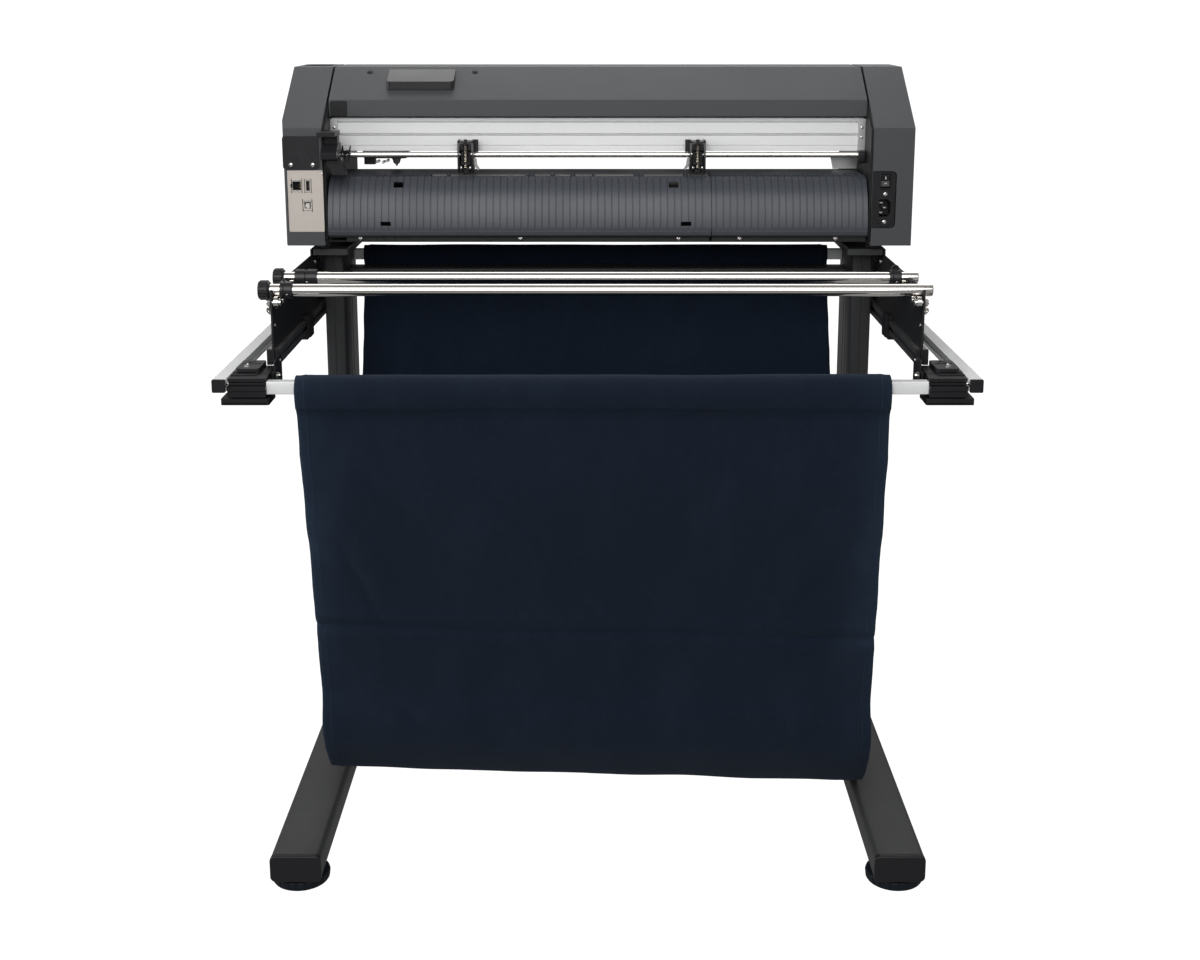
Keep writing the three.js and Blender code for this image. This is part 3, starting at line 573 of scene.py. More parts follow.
# ---- stage ----------------------------------------------------------------------------
class CUTTER_OT_stage(bpy.types.Operator):
    """Adds the pale floor, the soft studio light and the camera"""
    bl_idname = "cutter.stage"
    bl_label = "Stage, light and camera"

    def execute(self, context):
        scene = context.scene
        scene.view_settings.view_transform = "Standard"
        world = bpy.data.worlds.new("white room")
        world.use_nodes = True
        backdrop = world.node_tree.nodes["Background"]
        backdrop.inputs["Color"].default_value = (1.0, 1.0, 1.0, 1.0)
        backdrop.inputs["Strength"].default_value = 0.24
        scene.world = world

        bm = bmesh.new()
        bmesh.ops.create_cube(bm, size=10.0)
        bmesh.ops.translate(bm, vec=(0, 0, 5), verts=bm.verts)
        bmesh.ops.reverse_faces(bm, faces=bm.faces)
        mesh = bpy.data.meshes.new("white room")
        bm.to_mesh(mesh)
        bm.free()
        room = bpy.data.objects.new("white room", mesh)
        scene.collection.objects.link(room)
        mesh.materials.append(FINISHES["white room"])
        room.visible_diffuse = False
        room.visible_glossy = False
        room.visible_shadow = False

        self.add_softbox(scene, "softbox above", (0.0, 2.3, 3.2), (0.0, 0.0, 0.8), 2.4, 42.0)
        self.add_softbox(scene, "softbox front", (-0.3, -3.5, 2.6), (0.0, 0.0, 0.8), 3.0, 92.0)
        self.add_softbox(scene, "softbox left", (-3.2, -0.75, 1.7), (0.0, 0.0, 0.7), 1.4, 50.0)
        self.add_softbox(scene, "softbox right", (3.2, -0.6, 1.6), (0.0, 0.0, 0.8), 1.8, 12.0)

        camera = bpy.data.objects.new("camera", bpy.data.cameras.new("camera"))
        camera.location = (0.003, -2.253, 1.125)
        camera.rotation_euler = (math.radians(77.59), 0.0, 0.0)
        camera.data.lens = 48.0
        camera.data.shift_y = -0.1
        scene.collection.objects.link(camera)
        scene.camera = camera
        return {"FINISHED"}

    @staticmethod
    def add_softbox(scene, name, place, target, size, power):
        light = bpy.data.lights.new(name, "AREA")
        light.size = size
        light.energy = power
        lamp = bpy.data.objects.new(name, light)
        lamp.location = place
        lamp.rotation_euler = (Vector(target) - Vector(place)).to_track_quat("-Z", "Y").to_euler()
        scene.collection.objects.link(lamp)


# ---- stand ----------------------------------------------------------------------------
class CUTTER_OT_legs(bpy.types.Operator):
    """Adds the two base legs with their end caps"""
    bl_idname = "cutter.legs"
    bl_label = "Legs"

    def execute(self, context):
        for name, side in SIDES:
            low, high = cad(f"base_leg_{name}")
            width, base, top = high.x - low.x, low.z, high.z
            bm = bmesh.new()
            outline = rounded((low.x, base), (high.x, top), 7.0, 5)
            add_prism(bm, outline, "Y", low.y + 9, high.y - 9)
            holes = bmesh.new()
            for y in (-330, 330):
                add_rod(holes, 5.5, ((low.x + high.x) / 2, y, base - 1),
                        ((low.x + high.x) / 2, y, 44), 24)
            for y in (-40, 40):
                add_rod(holes, 3.2, ((low.x + high.x) / 2 + side * (width / 2 - 6), y, 33),
                        ((low.x + high.x) / 2 + side * (width / 2 + 4), y, 33), 20)
            make_piece(f"leg_{name}", carve(bm, holes), FINISHES["stand paint"],
                       replaces=(f"base_leg_{name}",), bevel=0.5)
            caps = bmesh.new()
            for start, end in ((low.y, low.y + 9), (high.y - 9, high.y)):
                add_prism(caps,
                          rounded((low.x - 0.4, base - 0.4), (high.x + 0.4, top + 0.6), 7.5, 6),
                          "Y", start, end)
            make_piece(f"leg_caps_{name}", caps, FINISHES["black plastic"],
                       bevel=2.2, segments=4)
        return {"FINISHED"}


class CUTTER_OT_feet(bpy.types.Operator):
    """Adds the round levelling feet with their grip notches"""
    bl_idname = "cutter.feet"
    bl_label = "Levelling feet"

    def execute(self, context):
        notches = 20
        for name, _ in SIDES:
            for end in ("rear", "front"):
                node = f"foot_{end}_{name}"
                low, high = cad(node)
                centre = (low + high) / 2
                radius = (high.x - low.x) / 2
                bm = bmesh.new()
                add_turned(bm, [(0, 0), (0, radius - 4), (1.2, radius - 2), (3, radius - 0.8),
                                (10.5, radius), (12.6, radius - 1), (14, radius - 4),
                                (14, 16), (17, 14), (17, 0)], (centre.x, centre.y, 0), Z, 80)
                cutters = bmesh.new()
                for i in range(notches):
                    turn = math.tau * i / notches
                    at = Vector((math.cos(turn), math.sin(turn), 0)) * (radius + 1.6)
                    add_rod(cutters, 3.2, (centre.x + at.x, centre.y + at.y, 3.2),
                            (centre.x + at.x, centre.y + at.y, 20), 16)
                bm = carve(bm, cutters)
                make_piece(node + "_disc", bm, FINISHES["foot plastic"], body=node,
                           replaces=(node,), bevel=0.4)
                stem = bmesh.new()
                add_rod(stem, 5, (centre.x, centre.y, 16), (centre.x, centre.y, 41), 24)
                add_rod(stem, 10, (centre.x, centre.y, 16.8), (centre.x, centre.y, 18.5), 6)
                make_piece(node + "_stem", stem, FINISHES["screw steel"], body=node,
                           bevel=0.4)
        return {"FINISHED"}


class CUTTER_OT_columns(bpy.types.Operator):
    """Adds the columns, their head brackets and the tie between them"""
    bl_idname = "cutter.columns"
    bl_label = "Columns and tie"

    def execute(self, context):
        paint = FINISHES["stand paint"]
        for name, side in SIDES:
            low, high = cad(f"column_{name}")
            inner = low.x if side > 0 else high.x
            bm = bmesh.new()
            add_prism(bm, rounded(low.xy, high.xy, 3.0, 4), "Z", low.z, high.z)
            slots = bmesh.new()
            for y0, y1 in ((140, 144), (162, 166)):
                add_box(slots, (inner - 1.6, y0, low.z + 2), (inner + 1.6, y1, high.z - 2))
            middle = (low.x + high.x) / 2
            add_box(slots, (middle - 1.0, low.y - 1, low.z + 2),
                    (middle + 1.0, low.y + 0.7, high.z))
            make_piece(f"column_{name}_tube", carve(bm, slots), paint,
                       replaces=(f"column_{name}",), bevel=0.5)
            flange = bmesh.new()
            add_box(flange, (low.x - 7, low.y - 16, low.z), (high.x + 7, high.y + 16, low.z + 5))
            for x in (low.x - 1.5, high.x + 1.5):
                for y in (low.y - 9, high.y + 9):
                    add_screw(flange, (x, y, low.z + 5), Z, 4.5, 3.4, "hex")
            make_piece(f"column_flange_{name}", flange, paint, bevel=0.6)
            self.add_bracket(name, side)
        low, high = cad("stand_cross_tie")
        bm = bmesh.new()
        add_prism(bm, rounded((low.y, low.z), (high.y, high.z), 2.0, 4), "X", low.x, high.x)
        for side in (-1, 1):
            x = side * (high.x - 14)
            add_box(bm, (x - 13, low.y + 1, low.z - 14), (x + 13, high.y - 1, low.z))
        make_piece("cross_tie", bm, paint, replaces=("stand_cross_tie",),
                   bevel=0.5)
        return {"FINISHED"}

    @staticmethod
    def add_bracket(name, side):
        """The head bracket: a folded plate with a lighter gusset edge and two posts."""
        node = f"head_bracket_{name}"
        low, high = cad(node)
        plate_top = 783.0
        bm = bmesh.new()
        add_prism(bm, rounded(low.xy, high.xy, 4.0, 5), "Z", low.z, plate_top)
        inner = low.x if side > 0 else high.x
        gusset = [(inner, plate_top), (inner - side * 10, plate_top + 9),
                  (inner - side * 10, plate_top + 10.5),
                  (inner + side * 3, plate_top + 1)]
        add_prism(bm, gusset, "Y", low.y + 2, low.y + 5)
        add_prism(bm, gusset, "Y", high.y - 40, high.y - 37)
        for y in (75, 270):
            add_rod(bm, 9, (side * 400, y, plate_top - 1), (side * 400, y, high.z), 6)
            add_rod(bm, 6.4, (side * 400, y, low.z - 5), (side * 400, y, low.z + 1), 6)
        make_piece(node + "_plate", bm, FINISHES["stand paint"], replaces=(node,),
                   bevel=0.7)


# ---- roll holder ----------------------------------------------------------------------
class CUTTER_OT_roller_plates(bpy.types.Operator):
    """Adds the notched side plates, their small bearings and the bars under them"""
    bl_idname = "cutter.roller_plates"
    bl_label = "Roll holder plates"

    axle_z = 758.0
    spread = 9.6

    def execute(self, context):
        for name, side in SIDES:
            self.add_plate(name, side)
            self.add_bearings(name, side)
            self.add_arm_bar(name, side)
            self.add_clip(name, side)
        return {"FINISHED"}

    def add_plate(self, name, side):
        node = f"roller_plate_{name}"
        low, high = cad(node)
        rollers = [sum(v.y for v in cad(n)) / 2
                   for n in ("media_roller_outer", "media_roller_inner")]
        axis_z = (cad("media_roller_outer")[0].z + cad("media_roller_outer")[1].z) / 2
        top = 774.0
        outline = [(low.y, low.z)]
        outline += arc((low.y + 3, top - 3), (3, 3), 180, 90, 4)
        for y in sorted(rollers):
            outline += [(y - 9, top)] + arc((y, axis_z), (9, 9), 180, 360, 14) + [(y + 9, top)]
        outline += [(49, top), (49, high.z), (high.y, high.z), (high.y, low.z), (-238, low.z),
                    (-238, 677), (low.y + 3, 677), (low.y, 680)]
        bm = bmesh.new()
        add_prism(bm, outline, "X", low.x, high.x)
        make_piece(node + "_sheet", bm, FINISHES["plate paint"], replaces=(node,),
                   bevel=0.35)
        bm = bmesh.new()
        inner = low.x if side > 0 else high.x
        add_screw(bm, (inner, low.y + 12, 726), (-side, 0, 0), 2.6, 1.4)
        add_screw(bm, (inner, -20, 735), (-side, 0, 0), 2.6, 1.4)
        for y in (70, 105):
            for z in (712, 762):
                add_screw(bm, (inner, y, z), (-side, 0, 0), 4.2, 2.2, "hex")
        make_piece(f"plate_screws_{name}", bm, FINISHES["screw steel"],
                   bevel=0.15)

    def add_bearings(self, name, side):
        low, high = cad(f"roller_plate_{name}")
        inner = low.x if side > 0 else high.x
        outer = high.x if side > 0 else low.x
        bearings, bolts = bmesh.new(), bmesh.new()
        for node in ("media_roller_outer", "media_roller_inner"):
            y = (cad(node)[0].y + cad(node)[1].y) / 2
            for off in (-self.spread, self.spread):
                at = Vector((inner - side * 2.2, y + off, self.axle_z - 0.4))
                add_turned(bearings, [(0, 3.2), (0, 7.4), (0.6, 8.1), (5.4, 8.1), (6, 7.4),
                                      (6, 3.2),
                                      (5.6, 3.2), (5.2, 6.3), (0.8, 6.3), (0.4, 3.2), (0, 3.2)],
                           at, (-side, 0, 0), 40)
                add_rod(bolts, 3.1, (outer + side * 5, at.y, at.z),
                        (inner - side * 9.2, at.y, at.z), 20)
                add_rod(bolts, 5.0, (inner - side * 8.4, at.y, at.z),
                        (inner - side * 11.2, at.y, at.z), 28)
                add_rod(bolts, 5.4, (outer, at.y, at.z), (outer + side * 3.6, at.y, at.z), 6)
            self.add_wing_nut(bolts, (outer + side * 4.5, y, 744), side)
        make_piece(f"bearings_{name}", bearings, FINISHES["chrome"])
        make_piece(f"bearing_bolts_{name}", bolts, FINISHES["screw steel"],
                   bevel=0.25)

    @staticmethod
    def add_wing_nut(bm, centre, side):
        """A wing nut that clamps the plate, on its outer face."""
        x, y, z = centre
        add_turned(bm, [(0, 0), (0, 4.6), (5, 3.6), (5, 0)], (x - side * 4.5, y, z),
                   (side, 0, 0), 20)
        for way in (-1, 1):
            wing = [(y + way * 2.5, z - 1.5), (y + way * 9, z + 1.0), (y + way * 10.5, z + 5.5),
                    (y + way * 7.5, z + 6.5), (y + way * 2.0, z + 2.5)]
            add_prism(bm, wing, "X", x - side * 0.6, x + side * 1.2)

    @staticmethod
    def add_arm_bar(name, side):
        node = f"arm_bar_{name}"
        low, high = cad(node)
        inner, outer = (low.x, high.x) if side > 0 else (high.x, low.x)
        middle = (low.z + high.z) / 2
        outline = [
            (outer, low.z), (outer, middle - 2.5), (outer - side * 1.2, middle - 2.5),
            (outer - side * 1.2, middle + 2.5), (outer, middle + 2.5), (outer, high.z),
            (inner, high.z), (inner, middle + 3.2), (inner + side * 1.6, middle + 3.2),
            (inner + side * 1.6, middle + 5.2), (inner + side * 4.6, middle + 5.2),
            (inner + side * 4.6, middle - 5.2), (inner + side * 1.6, middle - 5.2),
            (inner + side * 1.6, middle - 3.2), (inner, middle - 3.2), (inner, low.z)]
        bm = bmesh.new()
        add_prism(bm, outline, "Y", low.y + 8, high.y)
        make_piece(node + "_extrusion", bm, FINISHES["arm aluminium"], replaces=(node,),
                   bevel=0.4)
        cap = bmesh.new()
        for x0, x1 in ((409.5, 415.1), (418, 425.5)):
            add_box(cap, (min(side * x0, side * x1), low.y + 2, low.z),
                    (max(side * x0, side * x1), low.y + 7.8, high.z))
        make_piece(f"arm_bar_cap_{name}", cap, FINISHES["black plastic"],
                   bevel=0.6)

    @staticmethod
    def add_clip(name, side):
        """The ribbed clip that grips the bar from below."""
        low, high = cad(f"arm_bar_{name}")
        inner = low.x if side > 0 else high.x
        bm = bmesh.new()
        outline = [(inner + side * 6, 702.5), (inner - side * 3.2, 702.5),
                   (inner - side * 4.2, 698),
                   (inner - side * 4.2, 672), (inner - side * 1, 668.5), (inner + side * 14, 668.5),
                   (inner + side * 14, 675.4), (inner - side * 0.3, 675.4),
                   (inner - side * 0.3, 696.6),
                   (inner + side * 5.2, 696.6)]
        add_prism(bm, outline, "Y", -46, -14)
        ribs = bmesh.new()
        for i in range(5):
            y = -42 + i * 6
            add_box(ribs, (inner - side * 4.9, y, 671), (inner - side * 3.5, y + 3, 701))
        add_mesh(bm, ribs)
        make_piece(f"bar_clip_{name}", bm, FINISHES["black plastic"],
                   bevel=0.5)


class CUTTER_OT_media_rollers(bpy.types.Operator):
    """Adds the chromed media rollers, their knobs and their collars"""
    bl_idname = "cutter.media_rollers"
    bl_label = "Media rollers"

    def execute(self, context):
        self.teeth = context.scene.cutter_sizes.knob_teeth
        for which in ("outer", "inner"):
            node = f"media_roller_{which}"
            low, high = cad(node)
            centre = (low + high) / 2
            knob_end = low.x
            shaft_left = knob_end + 15
            bm = bmesh.new()
            add_turned(bm, [(knob_end - 0.4, 0), (knob_end - 0.4, 5.4), (knob_end + 0.2, 6),
                            (shaft_left, 6),
                            (shaft_left, 8), (high.x - 1.2, 8), (high.x, 6.8), (high.x, 5.4),
                            (high.x - 7, 5.2), (high.x - 7, 0)], (0, centre.y, centre.z), X, 64)
            make_piece(f"{node}_tube", bm, FINISHES["chrome"], body=f"roller_{which}",
                       replaces=(node,), bevel=0.2)
            self.add_knob(which, knob_end, centre)
        for node in ("collar_outer_left", "collar_inner_left", "collar_inner_right"):
            self.add_collar(node)
        return {"FINISHED"}

    def add_knob(self, which, left, centre):
        bm = bmesh.new()
        points = []
        for i in range(self.teeth):
            for share, radius in ((0.0, 12.8), (0.46, 12.8), (0.58, 11.3), (0.88, 11.3)):
                turn = math.tau * (i + share) / self.teeth
                points.append((centre.y + radius * math.cos(turn),
                               centre.z + radius * math.sin(turn)))
        add_prism(bm, points, "X", left + 2.2, left + 12.5)
        add_turned(bm, [(left, 6.1), (left, 10.6), (left + 0.8, 11.6), (left + 2.2, 12.0),
                        (left + 2.2, 6.1), (left, 6.1)], (0, centre.y, centre.z), X, 48)
        add_turned(bm, [(left + 12.5, 6.1), (left + 12.5, 11.6), (left + 14.6, 10.4),
                        (left + 15, 8.2), (left + 15, 6.1), (left + 12.5, 6.1)],
                   (0, centre.y, centre.z), X, 48)
        make_piece(f"roller_knob_{which}", bm, FINISHES["satin plastic"], body=f"roller_{which}",
                   bevel=0.3)

    @staticmethod
    def add_collar(node):
        low, high = cad(node)
        centre = (low + high) / 2
        a, b, r = low.x, high.x, 11.5
        profile = [(a, 8.15), (a, r - 1.2), (a + 0.8, r)]
        if b - a > 20:
            m = (a + b) / 2
            profile += [(m - 1.4, r), (m - 0.9, r - 1.0), (m + 0.9, r - 1.0), (m + 1.4, r)]
        else:
            profile += [(a + 4.2, r), (a + 4.8, r - 0.7), (a + 5.6, r - 0.7), (a + 6.2, r)]
        profile += [(b - 0.8, r), (b, r - 1.2), (b, 8.15), (a, 8.15)]
        bm = bmesh.new()
        add_turned(bm, profile, (0, centre.y, centre.z), X, 64)
        if node == "collar_inner_right":
            ring = arc((centre.x, centre.z + r + 1.5), (4.2, 3.4), 0, 180, 12)
            path = [(x, centre.y, z) for x, z in [(centre.x + 4.2, centre.z + 9)] + ring
                    + [(centre.x - 4.2, centre.z + 9)]]
            add_mesh(bm, wire_mesh(path, 1.3))
        if node == "collar_outer_left":
            for turn in (-50, 130):
                way = Vector((0, -math.sin(math.radians(turn)), math.cos(math.radians(turn))))
                add_rod(bm, 3.4, Vector((centre.x + 1.5, centre.y, centre.z)) + way * (r - 2),
                        Vector((centre.x + 1.5, centre.y, centre.z)) + way * (r + 0.9), 24)
        make_piece(f"{node}_ring", bm, FINISHES["satin plastic"], body=node, replaces=(node,),
                   bevel=0.25)
        screws = bmesh.new()
        way = Vector((0, -0.86, -0.5))
        add_screw(screws, Vector((centre.x + 1.5, centre.y, centre.z)) + way * (r - 0.9), way, 2.5,
                  1.2, "hex")
        make_piece(f"{node}_set_screw", screws, FINISHES["screw steel"], body=node,
                   bevel=0.12)


# ---- basket ---------------------------------------------------------------------------
class CUTTER_OT_basket_rails(bpy.types.Operator):
    """Adds the outer rails with their end caps and stop screws, and the two cross bars"""
    bl_idname = "cutter.basket_rails"
    bl_label = "Basket rails and bars"

    def execute(self, context):
        for name, side in SIDES:
            self.add_rail(name, side)
        for node, body in (("basket_front_bar", "basket_frame"), ("basket_rear_bar", "root")):
            low, high = cad(node)
            bm = bmesh.new()
            add_prism(bm, rounded((low.y, low.z), (high.y, high.z), 1.4, 4), "X", low.x, high.x)
            make_piece(node + "_tube", bm, FINISHES["cross bar aluminium"], body=body,
                       replaces=(node,))
        return {"FINISHED"}

    @staticmethod
    def add_rail(name, side):
        node = f"outer_rail_{name}"
        low, high = cad(node)
        inner, outer = (low.x, high.x) if side > 0 else (high.x, low.x)
        middle = (low.z + high.z) / 2
        outline = [
            (outer, low.z), (outer, high.z), (inner, high.z), (inner, middle + 3.4),
            (inner + side * 1.4, middle + 3.4), (inner + side * 1.4, middle + 5.2),
            (inner + side * 5, middle + 5.2), (inner + side * 5, middle - 5.2),
            (inner + side * 1.4, middle - 5.2), (inner + side * 1.4, middle - 3.4),
            (inner, middle - 3.4), (inner, low.z)]
        bm = bmesh.new()
        add_prism(bm, outline, "Y", low.y + 4, high.y - 4)
        make_piece(node + "_extrusion", bm, FINISHES["bar aluminium"], body="basket_frame",
                   replaces=(node,), bevel=0.4)
        caps = bmesh.new()
        for start, end in ((low.y, low.y + 4), (high.y - 4, high.y)):
            add_prism(caps,
                      rounded((low.x - 0.3, low.z - 0.3), (high.x + 0.3, high.z + 0.3), 1.6, 4),
                      "Y", start, end)
        make_piece(f"rail_caps_{name}", caps, FINISHES["black plastic"], body="basket_frame",
                   bevel=0.5)
        stops = bmesh.new()
        for y in (low.y + 13, high.y - 16):
            add_turned(stops, [(0, 0), (0, 3.6), (1.6, 3.6), (2.6, 2.8), (2.8, 0)],
                       (inner, y, middle), (-side, 0, 0), 28)
        make_piece(f"rail_stops_{name}", stops, FINISHES["chrome"], body="basket_frame")


class CUTTER_OT_slide_blocks(bpy.types.Operator):
    """Adds the moulded blocks that carry the basket on the fixed bars"""
    bl_idname = "cutter.slide_blocks"
    bl_label = "Slide blocks"

    def execute(self, context):
        for name, side in SIDES:
            self.add_block(name, side)
        return {"FINISHED"}

    @staticmethod
    def add_block(name, side):
        def across(inner, outer):
            return (inner, outer) if side > 0 else (-outer, -inner)

        def part(bm, inner, outer, low, high):
            x0, x1 = across(inner, outer)
            add_box(bm, (x0, low[0], low[1]), (x1, high[0], high[1]))

        bm = bmesh.new()
        steps = [(-322, 652.2, 660), (-324.2, 660.6, 666.4), (-319.5, 667.0, 670.2),
                 (-317.0, 670.8, 675.4)]
        for y, z0, z1 in steps:
            part(bm, 412, 459.7, (y, z0), (-300, z1))
        part(bm, 414, 458.6, (-302, 651), (-240, 675))
        for y, shrink in ((-302, 0), (-290, 2.5)):
            part(bm, 413 + shrink, 426.5, (y, 675), (y + 4, 675.6))
            part(bm, 426.5, 459.2, (y, 675), (y + 4, 677.2))
        make_piece(f"slide_block_{name}_body", bm, FINISHES["black plastic"], body="basket_frame",
                   replaces=(f"slide_block_{name}",), bevel=0.6)

        bm = bmesh.new()
        x0, x1 = across(408, 468)
        add_prism(bm, rounded((x0, -325), (x1, -280), 3.0, 5), "Z", 643, 651)
        rim = bmesh.new()
        add_prism(rim, rounded((x0 + 3, -325.6), (x1 - 3, -319), 1.0, 2), "Z", 645, 646)
        make_piece(f"slide_foot_{name}", carve(bm, rim), FINISHES["black plastic"],
                   body="basket_frame", bevel=0.7)

        bm = bmesh.new()
        x0, x1 = across(426.2, 456)
        add_prism(bm, rounded((x0, -290), (x1, -240), 4.0, 6), "Z", 675, 682)
        pockets = bmesh.new()
        middle = (x0 + x1) / 2
        add_rod(pockets, 5.6, (middle, -252, 680), (middle, -252, 684), 28)
        bm = carve(bm, pockets)
        part(bm, 430, 452, (-262, 681), (-258, 683))
        make_piece(f"slide_shoe_{name}", bm, FINISHES["satin plastic"], body="basket_frame",
                   bevel=0.6)

        bm = bmesh.new()
        x0, x1 = across(406.8, 409.1)
        outline = [(-282, 655)] + arc((-279, 688), (3, 3), 180, 90, 4) + arc(
            (-243, 688), (3, 3), 90, 0, 4) + [(-240, 655)]
        add_prism(bm, outline, "X", x0, x1)
        part(bm, 407, 412.6, (-282, 655), (-240, 675))
        make_piece(f"slide_cheek_{name}", bm, FINISHES["black plastic"], body="basket_frame",
                   bevel=0.5)

        screws = bmesh.new()
        add_screw(screws, (middle, -252, 680), Z, 3.4, 1.5)
        add_turned(screws, [(0, 0), (0, 3.8), (0.8, 3.8), (1.8, 3.0), (2.6, 1.6), (2.8, 0)],
                   (middle + side * 3, -274, 682), Z, 36)
        inner = 406.8 * side
        add_turned(screws, [(0, 0), (0, 4.4), (1.6, 4.4), (3.2, 3.0), (3.6, 0)],
                   (inner, -268, 668), (-side, 0, 0), 28)
        add_screw(screws, (inner, -250, 684), (-side, 0, 0), 2.4, 1.2)
        make_piece(f"slide_screws_{name}", screws, FINISHES["chrome"], body="basket_frame")


class CUTTER_OT_basket_cloth(bpy.types.Operator):
    """Adds the canvas of the basket, hung between its two bars, with hems and stitching"""
    bl_idname = "cutter.basket_cloth"
    bl_label = "Basket cloth"

    half_width = 370.0
    columns = 120
    rows = 330

    # The cloth's middle surface, [y, z]: front sleeve, deep U, rear sleeve.
    front_sleeve = [(-315.6, 634), (-301, 640), (-296.5, 652), (-296, 664), (-300, 674),
                    (-310, 678.6), (-321, 676.6), (-328.2, 669), (-330.5, 658), (-328.5, 646),
                    (-322, 635.5), (-317.6, 627)]
    hang = [(-316.4, 600), (-313.8, 530), (-299, 450), (-280, 371), (-263, 273), (-256.6, 225),
            (-258, 191), (-250, 150), (-231.5, 120), (-192.5, 81), (-139.6, 63), (-90, 59.5),
            (-41, 74.5), (-5, 102), (28.5, 139), (60, 208), (86.5, 289), (126.5, 429),
            (160.5, 566), (181, 642), (199, 716)]
    rear_sleeve = [(204, 733), (212.5, 740), (217.5, 750), (216.5, 761), (209, 766.5), (199, 766),
                   (192, 759), (190.5, 748), (195, 738), (201.5, 731)]

    # Short creases in the front panel: both ends as [across, down], their height and width.
    creases = (
        ((-331, 190), (-281, 318), 3.4, 8), ((-150, 96), (-60, 186), 2.2, 7),
        ((-317, 62), (-172, 215), 2.6, 15), ((342, 170), (233, 320), 3.0, 9),
        ((335, 331), (215, 372), 2.0, 8), ((-325, 398), (-220, 470), 2.6, 9),
        ((1, 381), (130, 440), 1.8, 12), ((45, 29), (160, 180), 1.8, 17),
        ((320, 415), (255, 512), 2.4, 9), ((-60, 420), (-150, 500), 1.8, 12),
        ((-300, 20), (-240, 74), 2.0, 9), ((250, 24), (330, 96), 2.2, 10))

    def execute(self, context):
        self.thickness = context.scene.cutter_sizes.canvas_thickness / MM
        self.line = self.even_line(self.front_sleeve + self.hang + self.rear_sleeve)
        marks = [self.mark(p) for p in (self.front_sleeve[-2], (-272, 318), self.rear_sleeve[0])]
        self.front_end, self.fold_start, self.rear_start = marks
        bm = bmesh.new()
        bmesh.ops.create_grid(bm, x_segments=self.columns, y_segments=self.rows, size=1.0)
        uv_layer = bm.loops.layers.uv.new("cloth")
        hem_layer = bm.verts.layers.float.new("hem fade")
        places = {}
        for vert in bm.verts:
            across = vert.co.x
            share = (vert.co.y + 1) / 2
            across = math.copysign(abs(across) ** 0.82, across)
            places[vert] = (across * self.half_width, share ** 1.3 * self.length)
        for face in bm.faces:
            for loop in face.loops:
                across, along = places[loop.vert]
                loop[uv_layer].uv = (across * MM, along * MM)
        for vert, (across, along) in places.items():
            vert.co = self.surface(across, along)
            rise = max(0.0, 1 - abs(along - 330) / 330)
            vert[hem_layer] = max(0.0, (abs(across) - 290) / 80) ** 2 * rise * 0.9
        bmesh.ops.recalc_face_normals(bm, faces=bm.faces)
        if sum(f.normal.y for f in bm.faces[:200]) > 0:
            bmesh.ops.reverse_faces(bm, faces=bm.faces)
        cloth = make_piece("basket_canvas", bm, FINISHES["basket canvas"], body=None,
                           replaces=("basket_cloth",), angle=180)
        wall = cloth.modifiers.new("cloth thickness", "SOLIDIFY")
        wall.thickness = self.thickness * MM
        wall.offset = 0.0
        stitches = self.add_stitches()
        for piece in (cloth, stitches):
            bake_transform(piece)
        return {"FINISHED"}

    def even_line(self, points):
        """Points a millimetre apart on a smooth curve through the given ones."""
        ends = [points[0]] + points + [points[-1]]
        fine = []
        for before, a, b, after in zip(ends, ends[1:], ends[2:], ends[3:]):
            a, b, before, after = (Vector((0, *p)) for p in (a, b, before, after))
            reach = (b - a).length / 3
            lead = (b - before).normalized() * reach
            tail = (after - a).normalized() * reach
            fine += geometry.interpolate_bezier(a, a + lead, b - tail, b, 24)[:-1]
        fine.append(Vector((0, *points[-1])))
        self.length = sum((b - a).length for a, b in zip(fine, fine[1:]))
        count = int(self.length)
        line, walked, at = [], 0.0, 0
        for i in range(count + 1):
            wanted = self.length * i / count
            while at < len(fine) - 2 and walked + (fine[at + 1] - fine[at]).length < wanted:
                walked += (fine[at + 1] - fine[at]).length
                at += 1
            step = (fine[at + 1] - fine[at]).length or 1.0
            line.append(fine[at].lerp(fine[at + 1], min(1.0, (wanted - walked) / step)))
        return line

    def mark(self, point):
        """Distance along the line of the place nearest to a point."""
        wanted = Vector((0, *point))
        nearest = min(range(len(self.line)), key=lambda i: (self.line[i] - wanted).length_squared)
        return nearest * self.length / (len(self.line) - 1)

    def along_line(self, along):
        """Point on the line and the direction out of the basket there."""
        at = min(max(along / self.length, 0.0), 0.9999) * (len(self.line) - 1)
        i = int(at)
        point = self.line[i].lerp(self.line[i + 1], at - i)
        i = min(max(i, 2), len(self.line) - 4)
        way = (self.line[i + 3] - self.line[i - 2]).normalized()
        return point, Vector((0, way.z, -way.y)) * -1

    def surface(self, across, along):
        """A point of the finished cloth, from its place on the flat cut."""
        point, out = self.along_line(along)
        in_front = min(1.0, max(0.0, (along - self.front_end) / 60))
        in_rear = min(1.0, max(0.0, (self.rear_start - along) / 60))
        free = in_front * in_rear
        side = abs(across) / self.half_width
        # long soft folds run down from the sleeves, and slanted ones cross them
        near = Vector((across * 0.0042, along * 0.0016, 3.1))
        folds = noise.noise(near) * 3.4
        slant = Vector(((across + along * 0.42) * 0.010, (along - across * 0.3) * 0.0030, 7.7))
        folds += noise.noise(slant) * 4.6
        slant = Vector(((across - along * 0.55) * 0.013, (along + across * 0.5) * 0.0038, 1.2))
        folds += noise.noise(slant) * 3.0
        small = Vector((across * 0.030, along * 0.022, 5.5))
        folds += noise.noise(small) * 0.8
